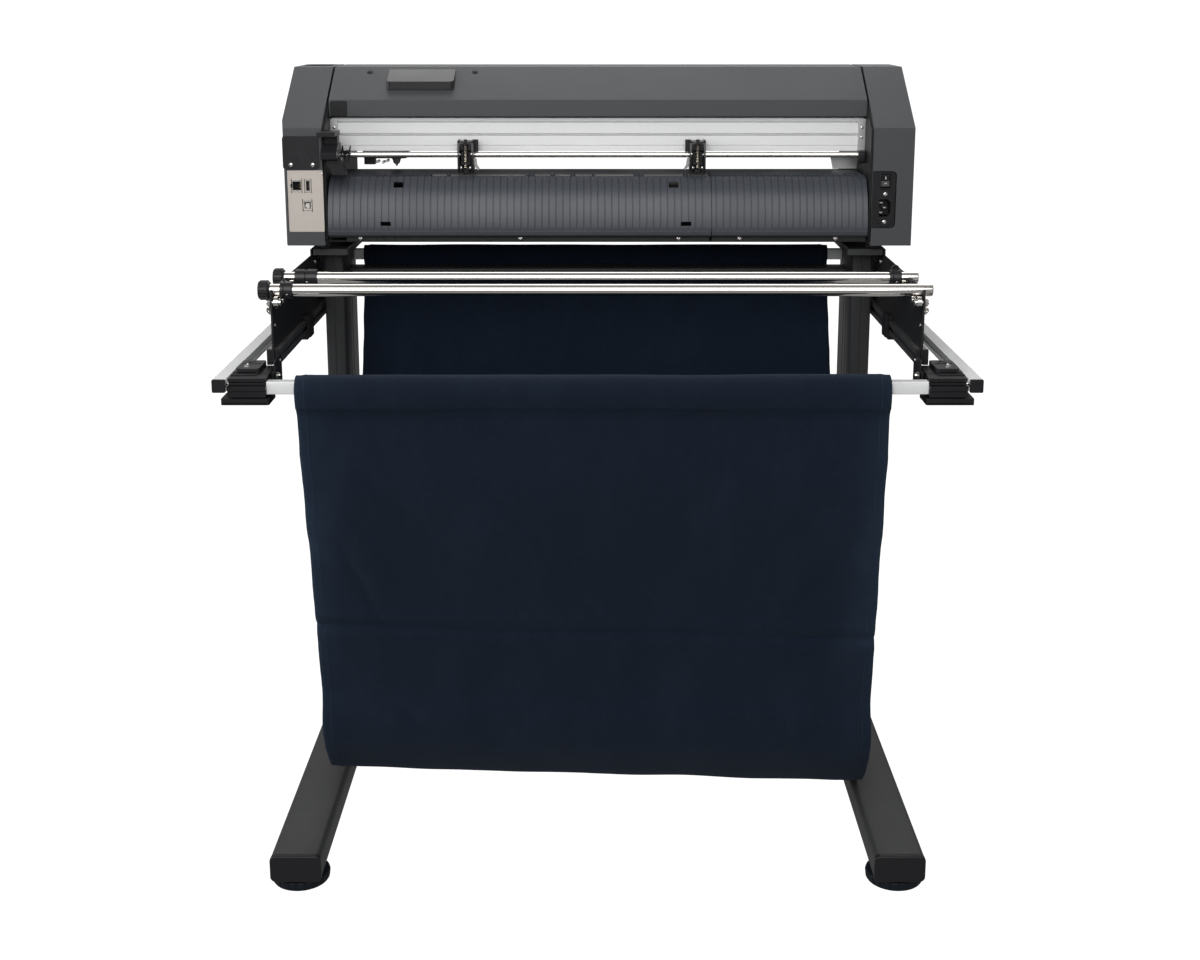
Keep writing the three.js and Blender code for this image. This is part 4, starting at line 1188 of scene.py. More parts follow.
        # the side hems are puckered by their stitching
        hem = max(0.0, (side - 0.9) / 0.1)
        pucker = noise.noise(Vector((across * 0.01, along * 0.024, 2.2))) * 3.2
        pucker += noise.noise(Vector((across * 0.01, along * 0.07, 9.1))) * 1.1
        calm = 1 - 0.8 * abs(out.z)
        lift = (folds * (1 - 0.35 * hem) * calm + pucker * hem) * free
        # a sharp fold is left across the front from packing
        crease = self.fold_start - 4 + across * 0.014
        gap = abs(along - crease)
        lift += (4.2 * math.exp(-gap / 5.0) - 2.2 * math.exp(-((gap - 14) / 9) ** 2)) * free
        for start, end, height, width in self.creases:
            lift += height * self.near_crease(across, along, start, end, width) * free
        # the sleeves bulge a little unevenly round their bars
        snug = 1 - free
        lift += snug * noise.noise(Vector((across * 0.008, along * 0.03, 4.4))) * 1.6
        # the hem is two layers, and the row of stitches draws it in
        hem_in = self.half_width - 11
        edge = abs(across)
        lift += 0.9 * min(1.0, max(0.0, (edge - hem_in) / 1.5))
        lift -= 1.3 * math.exp(-((edge - hem_in + 1) / 1.8) ** 2)
        for row in (self.front_end - 6, self.rear_start - 4):
            lift -= 1.9 * math.exp(-((along - row) / 2.6) ** 2)
        # the sides are drawn in below the sleeves and wave a little
        narrow = 2.6 * math.sin(math.pi * min(1.0, max(0.0, along - self.front_end) / 520)) * free
        wave = noise.noise(Vector((3.3, along * 0.013, 8.0))) * 2.6 * free
        reach = across - math.copysign((narrow + wave) * side ** 3, across)
        # the sewn top edge sits a little to the left, and the rear one is gathered
        front_share = max(0.0, 1 - along / 700)
        rear_share = max(0.0, 1 - (self.length - along) / 700)
        reach = reach * (1 - 0.035 * rear_share) - 6.5 * front_share - 4 * rear_share
        slope = -0.05 * across * free * max(0.0, 1 - abs(point.y + 90) / 260)
        place = Vector((reach, point.y, point.z + slope)) + out * lift
        return place

    def near_crease(self, across, along, start, end, width):
        """How close a place is to a short crease, from 1 on its middle down to 0."""
        a, b = Vector(start), Vector(end)
        way = b - a
        off = Vector((across, along - self.front_end)) - a
        share = min(1.0, max(0.0, off.dot(way) / way.length_squared))
        gap = (off - way * share).length
        return math.exp(-(gap / width) ** 2) * math.sin(math.pi * (0.1 + 0.8 * share))

    def add_stitches(self):
        """Rows of thread along the hems and under both sleeves."""
        bm = bmesh.new()
        for side in (-1, 1):
            across = side * (self.half_width - 12)
            along = 4.0
            while along < self.length - 6:
                self.add_stitch(bm, (across, along), (across, along + 2.9))
                along += 4.1
        for row in (self.front_end - 6, self.rear_start - 4):
            across = -self.half_width + 3
            while across < self.half_width - 5:
                self.add_stitch(bm, (across, row), (across + 2.9, row))
                across += 4.1
        return make_piece("basket_stitching", bm, FINISHES["stitching"], body=None)

    def add_stitch(self, bm, start, end):
        out = self.along_line(start[1])[1] * (self.thickness / 2 + 0.05)
        a, b = (self.surface(*place) + out for place in (start, end))
        add_rod(bm, 0.36, a, b, sides=5)


# ---- covers ---------------------------------------------------------------------------
REAR_Y, BOTTOM_Z, CREASE_Z, TOP_Z = 30.0, 791.0, 959.0, 1040.0
SLOPE_TOP_Y, TOP_FRONT_Y, FRONT_Y, FRONT_Z = 155.0, 262.0, 352.0, 984.0
COVER_OUTLINE = [
    (REAR_Y, BOTTOM_Z), (REAR_Y, CREASE_Z), (SLOPE_TOP_Y, TOP_Z), (TOP_FRONT_Y, TOP_Z),
    (FRONT_Y, FRONT_Z), (FRONT_Y, 850.0), (318.0, BOTTOM_Z)]
SLOPE_WAY = Vector((0, -(TOP_Z - CREASE_Z), SLOPE_TOP_Y - REAR_Y)).normalized()


def on_rear_slope(y):
    """Height of the rear slope above a place."""
    return CREASE_Z + (y - REAR_Y) * (TOP_Z - CREASE_Z) / (SLOPE_TOP_Y - REAR_Y)


def inset(outline, distance):
    """A smaller copy of a closed clockwise outline, with each side moved in."""
    points = []
    for before, here, after in zip(outline[-1:] + outline[:-1], outline, outline[1:] + outline[:1]):
        a = (Vector(here) - Vector(before)).normalized()
        b = (Vector(after) - Vector(here)).normalized()
        mid = Vector((a.y + b.y, -a.x - b.x))
        points.append(tuple(Vector(here) + mid * (2 * distance / mid.length_squared)))
    return points


class CUTTER_OT_end_covers(bpy.types.Operator):
    """Adds the two hollow end covers, with their openings for sockets"""
    bl_idname = "cutter.end_covers"
    bl_label = "End covers"

    def execute(self, context):
        for name, side in SIDES:
            node = f"end_cover_{name}"
            low, high = cad(node)
            inner, outer = (low.x, high.x) if side > 0 else (high.x, low.x)
            bm = bmesh.new()
            add_prism(bm, COVER_OUTLINE, "X", inner, outer)
            cutters = bmesh.new()
            add_prism(cutters, inset(COVER_OUTLINE, 3.0), "X", inner + side * 2.5, outer - side * 5)
            if side < 0:
                wedge = [(outer - 1, 29), (outer + 3.6, 29), (outer + 3.6, 30), (outer, 46),
                         (outer - 1, 46)]
                add_prism(cutters, wedge, "Z", BOTTOM_Z - 1, TOP_Z)
                add_box(cutters, (-443.3, REAR_Y - 2, 810.7), (-391, REAR_Y + 4, 899.3))
            else:
                add_prism(cutters, rounded((391, 816), (426.3, 898), 7, 8, skip=(0, 3)), "Y",
                          REAR_Y - 2, REAR_Y + 4)
                add_rod(cutters, 9, (390, 80, 878.5), (398, 80, 878.5), 32)
            bm = carve(bm, cutters)
            make_piece(node + "_shell", bm, FINISHES["cover paint"], replaces=(node,),
                       bevel=0.55)
        return {"FINISHED"}


class CUTTER_OT_top_cover(bpy.types.Operator):
    """Adds the bent top cover, its grip and its screws"""
    bl_idname = "cutter.top_cover"
    bl_label = "Top cover"

    def execute(self, context):
        low, high = cad("top_cover")
        band_y = low.y
        line = [(band_y + 9, 972.5), (band_y + 1.25, 972.5), (band_y + 1.25, on_rear_slope(band_y)),
                (SLOPE_TOP_Y + 0.5, TOP_Z - 1.3), (TOP_FRONT_Y - 0.5, TOP_Z - 1.3),
                (FRONT_Y - 1.3, FRONT_Z - 0.8), (FRONT_Y - 1.3, 940)]
        bm = bmesh.new()
        bent_sheet(bm, line, 2.4, low.x - 0.4, high.x + 0.4)
        screws = [(-336, 143), (-181, 143)]
        holes = bmesh.new()
        for x, y in screws:
            at = Vector((x, y, on_rear_slope(y)))
            add_rod(holes, 4.6, at - SLOPE_WAY * 1.3, at + SLOPE_WAY * 4, 32)
        make_piece("top_cover_sheet", carve(bm, holes), FINISHES["cover paint"],
                   replaces=("top_cover",), bevel=0.7, segments=3)
        heads = bmesh.new()
        for x, y in screws:
            at = Vector((x, y, on_rear_slope(y)))
            add_screw(heads, at - SLOPE_WAY * 1.5, SLOPE_WAY, 3.7, 1.3, "hex")
        make_piece("top_cover_screws", heads, FINISHES["motor black"],
                   bevel=0.3)
        self.add_grip()
        pads = bmesh.new()
        add_prism(pads, rounded((-387, 971.5), (-363, 994), 3.0, 5), "Y", band_y - 1.4,
                  band_y + 0.6)
        make_piece("cover_pads", pads, FINISHES["plate paint"], bevel=0.6,
                   segments=3)
        return {"FINISHED"}

    @staticmethod
    def add_grip():
        """The moulded grip that stands out of the rear slope."""
        bm = bmesh.new()
        rear, front = 105.0, 149.0
        outline = [(front, on_rear_slope(front) + 0.4), (front, on_rear_slope(front) - 1.5),
                   (rear + 1, on_rear_slope(rear) - 1), (rear - 0.5, on_rear_slope(rear) + 1.2),
                   (rear, 1020.4)]
        add_prism(bm, outline, "X", -308, -210)
        corners = [e for e in bm.edges
                   if abs(e.verts[0].co.y - e.verts[1].co.y) < 1 and e.verts[0].co.y < rear + 0.6
                   and abs(e.verts[0].co.x - e.verts[1].co.x) < 0.1]
        bmesh.ops.bevel(bm, geom=corners, offset=6, offset_type="OFFSET", segments=6, profile=0.5,
                        affect="EDGES", material=-1)
        make_piece("cover_grip", bm, FINISHES["black plastic"], bevel=1.2,
                   segments=4)


def bent_sheet(bm, line, thickness, start, end):
    """A sheet that follows an open line in the YZ plane, with half its thickness on each side."""
    offsets = []
    for i, (y, z) in enumerate(line):
        before, after = line[max(i - 1, 0)], line[min(i + 1, len(line) - 1)]
        a = Vector((y - before[0], z - before[1])).normalized() if i else None
        b = Vector((after[0] - y, after[1] - z)).normalized() if i < len(line) - 1 else None
        a, b = a or b, b or a
        mid = Vector((-a.y - b.y, a.x + b.x))
        offsets.append(mid * (thickness / mid.length_squared))
    outer = [(y + o.x, z + o.y) for (y, z), o in zip(line, offsets)]
    inner = [(y - o.x, z - o.y) for (y, z), o in zip(line, offsets)]
    add_prism(bm, outer + inner[::-1], "X", start, end)


# ---- platen and beam ------------------------------------------------------------------
GRIT_ROLLERS = (
    (-241, -219), (-214, -105), (-92, -69), (-62, -40), (-33, -9), (-5, 52), (67, 124), (131, 160))


class CUTTER_OT_platen(bpy.types.Operator):
    """Adds the grooved rear platen in two lengths, its lip and flange, and the front platen"""
    bl_idname = "cutter.platen"
    bl_label = "Platen"

    wall = 2.6

    def execute(self, context):
        sizes = context.scene.cutter_sizes
        self.pitch, self.groove_depth = sizes.groove_pitch / MM, sizes.groove_depth / MM
        for node in ("platen_rear_left", "platen_rear_right"):
            low, high = cad(node)
            start, end = low.x + 0.4, high.x - 0.4
            bm = self.grooved_shell(start, end)
            cutters = bmesh.new()
            for a, b in GRIT_ROLLERS:
                if start < a and b < end:
                    add_box(cutters, (a - 1.5, 68, 876), (b + 1.5, 92, 892))
            if node == "platen_rear_left":
                for x in (-287, 109):
                    add_box(cutters, (x - 7, 38, 872.5), (x + 7, 60, 880))
                for x in (-304.5, 126.5):
                    add_box(cutters, (x - 7.5, 24, 819.5), (x + 7.5, 36, 825.5))
            make_piece(node + "_moulding", carve(bm, cutters), FINISHES["platen plastic"],
                       replaces=(node,), angle=24)
            lip = bmesh.new()
            # the lip takes the darkened platen blue, painted shade for its forward and downward
            # facing
            bent_sheet(lip, [(34.2, 803.2), (31.4, 806.2), (31.4, 811.2)], 2.6, start, end)
            make_piece(node + "_lip", lip, FINISHES["platen painted shade"], bevel=0.5)
            flange = bmesh.new()
            bent_sheet(flange, [(36.5, 806), (36.5, 796.6), (48, 796.6)], 1.5,
                       max(start, -362), end - 2)
            make_piece(node + "_flange", flange, FINISHES["satin plastic"],
                       bevel=0.4)
        # a dark sheet behind the seam of the two platen lengths, in the darkened platen blue:
        # painted shade in the gap
        shade_sheet = bmesh.new()
        bent_sheet(shade_sheet, [(40, 806)] + arc((74, 811), (40, 73), 180, 90, 10) + [(160, 884)], 1.2,
                   158, 168)
        make_piece("seam_painted_shade", shade_sheet, FINISHES["platen painted shade"])
        screws = bmesh.new()
        for x in (-342, -111.5, 116, 204, 342):
            add_screw(screws, (x, 35.8, 801), (0, -1, 0), 3.5, 2.0)
        make_piece("flange_screws", screws, FINISHES["screw steel"], bevel=0.15)
        self.add_front()
        low, high = cad("base_pan")
        bm = bmesh.new()
        add_box(bm, low, high)
        slots = bmesh.new()
        for i in range(12):
            x = -330 + 60 * i
            add_prism(slots, rounded((x - 18, 150), (x + 18, 156), 2.9, 5), "Z",
                      low.z - 1, high.z + 1)
        make_piece("base_pan_sheet", carve(bm, slots), FINISHES["plate paint"],
                   replaces=("base_pan",), bevel=0.3)
        return {"FINISHED"}

    def grooved_shell(self, start, end):
        """The curved rear platen with a narrow groove at every pitch."""
        stations = [(start, 0.0)]
        x = math.ceil((start + 3) / self.pitch) * self.pitch
        while x < end - 3:
            for off, depth in ((-0.85, 0.0), (-0.4, 1.0), (0.4, 1.0), (0.85, 0.0)):
                stations.append((x + off, depth * self.groove_depth))
            x += self.pitch
        stations.append((end, 0.0))
        profile = [((30.2, z), (-1.0, 0.0), 0.0) for z in (811.0, 813.0)]
        for turn in range(178, 89, -4):
            angle = math.radians(turn)
            out = Vector((77 * math.cos(angle), 44 * math.sin(angle))).normalized()
            profile.append(((74 + 44 * math.cos(angle), 811 + 77 * math.sin(angle)), out, 1.0))
        profile += [((y, 888.0), (0.0, 1.0), share) for y, share in
                    ((84, 1.0), (96, 1.0), (97, 0.0), (163, 0.0))]
        bm = bmesh.new()
        columns, rows = len(stations) - 1, len(profile) - 1
        bmesh.ops.create_grid(bm, x_segments=columns, y_segments=rows, size=1.0)
        for vert in bm.verts:
            x, depth = stations[round((vert.co.x + 1) / 2 * columns)]
            (y, z), out, share = profile[round((vert.co.y + 1) / 2 * rows)]
            depth *= share
            vert.co = (x, y - out[0] * depth, z - out[1] * depth)
        bmesh.ops.recalc_face_normals(bm, faces=bm.faces)
        if sum(f.normal.z for f in bm.faces) < 0:
            bmesh.ops.reverse_faces(bm, faces=bm.faces)
        bmesh.ops.solidify(bm, geom=bm.faces[:], thickness=self.wall)
        bmesh.ops.recalc_face_normals(bm, faces=bm.faces)
        return bm

    def add_front(self):
        """The operator's side of the platen, with its cutting strip."""
        low, high = cad("platen_front")
        nose = arc((300, 838), (40.6, 28.6), 76, 0, 10)
        line = [(168.6, 882), (212, 882), (300, 866.6)] + nose + [
            (340.6, 834), (315.4, 804.6)]
        bm = bmesh.new()
        bent_sheet(bm, line, 2.8, low.x, high.x)
        grooves = bmesh.new()
        add_box(grooves, (low.x - 1, 198.5, 882.3), (high.x + 1, 208.5, 885))
        for i in range(38):
            x = -370 + 20 * i
            slit = [(222, 880.6), (222, 884), (290, 872), (290, 868.8)]
            add_prism(grooves, slit, "X", x - 0.5, x + 0.5)
        make_piece("platen_front_moulding", carve(bm, grooves), FINISHES["platen plastic"],
                   replaces=("platen_front",), bevel=0.25, angle=24)
        strip = bmesh.new()
        add_box(strip, (low.x + 2, 199, 882.3), (high.x - 2, 208, 883.7))
        make_piece("cutting_strip", strip, FINISHES["light plastic"],
                   bevel=0.3)


class CUTTER_OT_beam(bpy.types.Operator):
    """Adds the beam, its end plates, the belt and the lift shaft's holders"""
    bl_idname = "cutter.beam"
    bl_label = "Beam"

    def execute(self, context):
        low, high = cad("main_beam")
        rear, front, bottom, top = low.y, high.y, low.z, high.z
        grooves = []
        cuts = ((929, 0.5, 2.0), (944, 0.7, 5.0), (946.2, 0.5, 3.0), (963, 1.0, 5.0))
        for z, half, depth in cuts:
            grooves += [(rear, z - half), (rear + depth, z - half), (rear + depth, z + half),
                        (rear, z + half)]
        face = [(front, top), (front, 955), (front - 4, 955), (front - 4, 949), (front, 949),
                (front, 940), (front - 4, 940), (front - 4, 934), (front, 934), (front, bottom)]
        bm = bmesh.new()
        add_prism(bm, [(rear, bottom)] + grooves + [(rear, top)] + face, "X", low.x, high.x)
        make_piece("beam_extrusion", bm, FINISHES["beam aluminium"], replaces=("main_beam",),
                   bevel=0.35)
        plates, screws, blocks = bmesh.new(), bmesh.new(), bmesh.new()
        for side in (-1, 1):
            x0, x1 = sorted((side * 378.5, side * 391.6))
            add_box(plates, (x0, rear - 2.2, 922), (x1, rear - 0.2, 968))
            for z in (941, 955):
                add_screw(screws, (side * 384, rear - 2.2, z), (0, -1, 0), 2.2, 1.2)
        add_prism(plates, [(388, 889.6), (352, 889.6), (347, 912), (388, 912)], "Y", 152, 154)
        add_prism(blocks, rounded((77, 905), (93.5, 922), 4, 6), "X", 378, 388)
        add_screw(screws, (383, 82, 905.4), (0, -0.35, -1), 2.4, 1.4)
        for way in (-1, 1):
            bar = [(-364.5 + way * 1.0, 906), (-364.5 + way * 2.8, 906), (-364.5 + way * 6.8, 930),
                   (-364.5 + way * 5.0, 930.6)]
            add_prism(blocks, bar, "Y", 76, 79)
        add_box(blocks, (-368, 76, 919), (-361, 90, 923))
        make_piece("beam_end_plates", plates, FINISHES["end plate"],
                   bevel=0.3)
        make_piece("beam_screws", screws, FINISHES["screw steel"], bevel=0.12)
        make_piece("shaft_holders", blocks, FINISHES["black plastic"],
                   bevel=0.5)
        self.add_belt()
        return {"FINISHED"}

    @staticmethod
    def add_belt():
        """The toothed belt loop, its idler and the motor that drives it."""
        low, high = cad("carriage_belt")
        half, mid = (high.x - low.x) / 2 - 11.4, (low.y + high.y) / 2
        path = (arc((half, mid), (11.4, 11.4), -90, 90, 16)
                + arc((-half, mid), (11.4, 11.4), 90, 270, 16))
        bm = bmesh.new()
        verts = [bm.verts.new((x, y, low.z)) for x, y in path]
        edges = [bm.edges.new(pair) for pair in zip(verts, verts[1:] + verts[:1])]
        made = bmesh.ops.extrude_edge_only(bm, edges=edges)
        up = [v for v in made["geom"] if isinstance(v, bmesh.types.BMVert)]
        bmesh.ops.translate(bm, vec=(0, 0, high.z - low.z), verts=up)
        bmesh.ops.recalc_face_normals(bm, faces=bm.faces)
        bmesh.ops.solidify(bm, geom=bm.faces[:], thickness=1.0)
        bmesh.ops.recalc_face_normals(bm, faces=bm.faces)
        for way in (-1, 1):
            for i in range(180):
                x = -half + 4.1 * i
                add_box(bm, (x, mid + way * 9.6 - 0.4, low.z + 0.2),
                        (x + 1.6, mid + way * 9.6 + 0.9, high.z - 0.2))
        make_piece("belt_loop", bm, FINISHES["grey rubber"], replaces=("carriage_belt",))
        pulley = bmesh.new()
        add_turned(pulley, [(969.5, 0), (969.5, 10.5), (972, 10.5), (973, 9.2), (984, 9.2),
                            (985, 10.5), (987, 10.5), (987, 0)], (half - 1, mid, 0), Z, 40)
        add_rod(pulley, 3, (half - 1, mid, 987), (half - 1, mid, 992), 20)
        make_piece("belt_idler", pulley, FINISHES["light plastic"], bevel=0.2)
        low, high = cad("carriage_motor")
        x, y = (low.x + high.x) / 2, (low.y + high.y) / 2
        bm = bmesh.new()
        add_prism(bm, rounded((x - 16.5, y - 16.5), (x + 16.5, y + 16.5), 4, 5), "Z", 985, high.z)
        add_turned(bm, [(970, 0), (970, 10), (971.5, 10), (972, 9), (983, 9), (983.5, 10),
                        (985.2, 10),
                        (985.2, 0)], (x, y, 0), Z, 40)
        make_piece("belt_motor", bm, FINISHES["motor black"], replaces=("carriage_motor",),
                   bevel=0.5)


class CUTTER_OT_media_drive(bpy.types.Operator):
    """Adds the grit shaft with its rollers, and the feed motor"""
    bl_idname = "cutter.media_drive"
    bl_label = "Media drive"

    def execute(self, context):
        low, high = cad("grit_shaft")
        y, z = (low.y + high.y) / 2, (low.z + high.z) / 2
        bm = bmesh.new()
        add_turned(bm, [(low.x, 0), (low.x, 5.2), (low.x + 0.8, 6), (high.x - 0.8, 6),
                        (high.x, 5.2), (high.x, 0)], (0, y, z), X, 40)
        make_piece("grit_shaft_bar", bm, FINISHES["screw steel"], body="grit_drive",
                   replaces=("grit_shaft",))
        bm = bmesh.new()
        for a, b in GRIT_ROLLERS:
            add_turned(bm, [(a, 5.9), (a, 9.4), (a + 0.6, 10), (b - 0.6, 10), (b, 9.4), (b, 5.9),
                            (a, 5.9)], (0, y, z), X, 48)
        make_piece("grit_rollers", bm, FINISHES["grit"], body="grit_drive")
        low, high = cad("feed_motor")
        y = (low.y + high.y) / 2
        half = (high.y - low.y) / 2
        square = rounded((y - half, z - half), (y + half, z + half), 4, 6)
        bm = bmesh.new()
        add_prism(bm, square, "X", low.x + 6, high.x - 6)
        make_piece("feed_motor_can", bm, FINISHES["motor black"], replaces=("feed_motor",),
                   bevel=0.6)
        bm = bmesh.new()
        for start in (low.x, high.x - 6):
            add_prism(bm, square, "X", start, start + 6)
        make_piece("feed_motor_ends", bm, FINISHES["motor steel"], bevel=0.5)
        return {"FINISHED"}


# ---- pinch rollers and lever ----------------------------------------------------------
class CUTTER_OT_pinch_units(bpy.types.Operator):
    """Adds the sliding pinch roller units with their springs, forks and wheels"""
    bl_idname = "cutter.pinch_units"
    bl_label = "Pinch roller units"

    def execute(self, context):
        for name, side in SIDES:
            node = f"pinch_housing_{name}"
            low, high = cad(node)
            x = (low.x + high.x) / 2
            inward = -side
            self.add_housing(name, x, inward, low, high)
            self.add_fork(name, x)
            self.add_wheel(name)
        low, high = cad("lift_shaft")
        y, z = (low.y + high.y) / 2, (low.z + high.z) / 2
        bm = bmesh.new()
        add_turned(bm, [(low.x, 0), (low.x, 3.4), (low.x + 0.6, 4), (high.x - 0.6, 4),
                        (high.x, 3.4), (high.x, 0)], (0, y, z), X, 40)
        make_piece("lift_shaft_bar", bm, FINISHES["chrome"], body="lever",
                   replaces=("lift_shaft",))
        return {"FINISHED"}

    @staticmethod
    def add_housing(name, x, inward, low, high):
        body = f"pinch_unit_{name}"
        cheek = [(66, 891), (62.5, 896), (61.5, 913), (62, 928), (65, 935)] + arc(
            (71, 932.5), (6, 6), 150, 90, 4) + [(89, 938.5), (92.5, 935), (92.5, 904), (88, 894)]
        bm = bmesh.new()
        for way in (-1, 1):
            x0, x1 = sorted((x + way * 8.6, x + way * 11.6))
            add_prism(bm, cheek, "X", x0, x1)
            x0, x1 = sorted((x + way * 4.6, x + way * 8.8))
            add_prism(bm, [(66, 928), (66, 937), (88, 937), (88, 928)], "X", x0, x1)
            add_prism(bm, [(64, 897), (64, 902), (70, 902), (70, 897)], "X", x0, x1)
        add_box(bm, (x - 9, 88, 895), (x + 9, 92, 937))
        add_box(bm, (x - 9, 64.5, 933), (x + 9, 90, 936.4))
        add_box(bm, (x - 9, 70, 924), (x + 9, 74, 934))
        add_rod(bm, 2.6, (x, 66.5, 930.5), (x, 66.5, 939.6), 20)
        tab = sorted((x + inward * 11, x + inward * 17.5))
        add_box(bm, (tab[0], 78, 921), (tab[1], 80.5, 939))
        add_box(bm, (min(x + inward * 11, x + inward * 15), 80, 933),
                (max(x + inward * 11, x + inward * 15), 88, 936))
        holes = bmesh.new()
        add_rod(holes, 4.6, (x - 14, 84, 916.5), (x + 14, 84, 916.5), 32)
        make_piece(f"pinch_housing_{name}_shell", carve(bm, holes), FINISHES["satin plastic"],
                   body=body, replaces=(f"pinch_housing_{name}",), bevel=0.5,
                   segments=3)

        spring_points = []
        turns, top, bottom = 15, 930.0, 898.5
        for i in range(turns * 14 + 1):
            angle = math.tau * i / 14
            spring_points.append((x + 2.7 * math.cos(angle), 66.6 + 2.7 * math.sin(angle),
                                  bottom + (top - bottom) * i / (turns * 14)))
        bm = wire_mesh(spring_points, 0.62, resolution=2)
        make_piece(f"pinch_spring_{name}", bm, FINISHES["spring steel"], body=body)

        bm = bmesh.new()
        add_screw(bm, (x, 66.5, 939.4), (0, -0.3, 1), 2.3, 1.1)
        for way in (-1, 1):
            add_screw(bm, (x + way * 9.6, 62.6, 919), (way * 0.3, -1, 0), 2.0, 1.0)
            add_screw(bm, (x + way * 6.6, 63.8, 899.5), (0, -1, 0), 1.7, 0.9)
        hook = [(x + inward * 11.5, 914), (x + inward * 15.5, 912), (x + inward * 16.5, 903),
                (x + inward * 20, 897.5), (x + inward * 17.5, 895.5), (x + inward * 13, 900),
                (x + inward * 11.5, 905)]
        add_prism(bm, hook, "Y", 70, 72.2)
        make_piece(f"pinch_trim_{name}", bm, FINISHES["screw steel"], body=body,
                   bevel=0.12)

    @staticmethod
    def add_fork(name, x):
        node = f"pinch_fork_{name}"
        bm = bmesh.new()
        add_box(bm, (x - 7.2, 71, 903.8), (x + 7.2, 74, 922))
        add_box(bm, (x - 7.2, 63.4, 903.8), (x + 7.2, 87, 907.4))
        foot = arc((78, 896), (5.4, 5.4), 200, 340, 8)
        ear = [(69, 905), (69, 896)] + foot + [(87, 896), (87, 905)]
        for way in (-1, 1):
            x0, x1 = sorted((x + way * 4.9, x + way * 7.2))
            add_prism(bm, ear, "X", x0, x1)
        add_rod(bm, 1.8, (x, 66.6, 900.5), (x, 66.6, 926), 20)
        make_piece(node + "_moulding", bm, FINISHES["black plastic"], body=node, replaces=(node,),
                   bevel=0.4)

    @staticmethod
    def add_wheel(name):
        node = f"pinch_wheel_{name}"
        low, high = cad(node)
        centre = (low + high) / 2
        bm = bmesh.new()
        add_turned(bm, [(-4.3, 2.6), (-4.3, 6.2), (-3.6, 7), (3.6, 7), (4.3, 6.2), (4.3, 2.6),
                        (-4.3, 2.6)], centre, X, 48)
        make_piece(node + "_tyre", bm, FINISHES["grey rubber"], body=node, replaces=(node,))
        bm = bmesh.new()
        add_turned(bm, [(-7.2, 0), (-7.2, 1.5), (-6.8, 1.8), (-4.5, 1.8), (-4.5, 2.7), (4.5, 2.7),
                        (4.5, 1.8), (6.8, 1.8), (7.2, 1.5), (7.2, 0)], centre, X, 28)
        make_piece(f"pinch_axle_{name}", bm, FINISHES["screw steel"], body=node)


class CUTTER_OT_lever(bpy.types.Operator):
    """Adds the lever that lifts the pinch rollers"""
    bl_idname = "cutter.lever"
    bl_label = "Media lever"

    def execute(self, context):
        bm = bmesh.new()
        add_box(bm, (-396, 12, 947.6), (-370, 58, 954))
        add_box(bm, (-391, 40, 920), (-371, 58, 948))
        grip = [(13, 916), (12.4, 924), (15, 927), (30, 936.4), (58, 936.4), (58, 914), (30, 912)]
        add_prism(bm, grip, "X", -391.6, -369)
        lower = [(-388, 917), (-365, 917), (-357.6, 893), (-378, 893)]
        add_prism(bm, lower, "Y", 24, 40)
        boss = arc((84, 916.5), (10, 10), 120, -120, 16)
        arm = [(40, 912), (40, 926), (72, 927)] + boss + [(72, 906)]
        add_prism(bm, arm, "X", -385, -371)
        bore = bmesh.new()
        add_rod(bore, 4.3, (-390, 84, 916.5), (-365, 84, 916.5), 40)
        make_piece("lever_moulding", carve(bm, bore), FINISHES["black plastic"], body="lever",
                   replaces=("media_lever",), bevel=1.1, segments=3)
        bm = bmesh.new()
        add_screw(bm, (-378, 84, 926.2), Z, 2.4, 1.5, "hex")
        make_piece("lever_screw", bm, FINISHES["screw steel"], body="lever",
                   bevel=0.12)
        return {"FINISHED"}


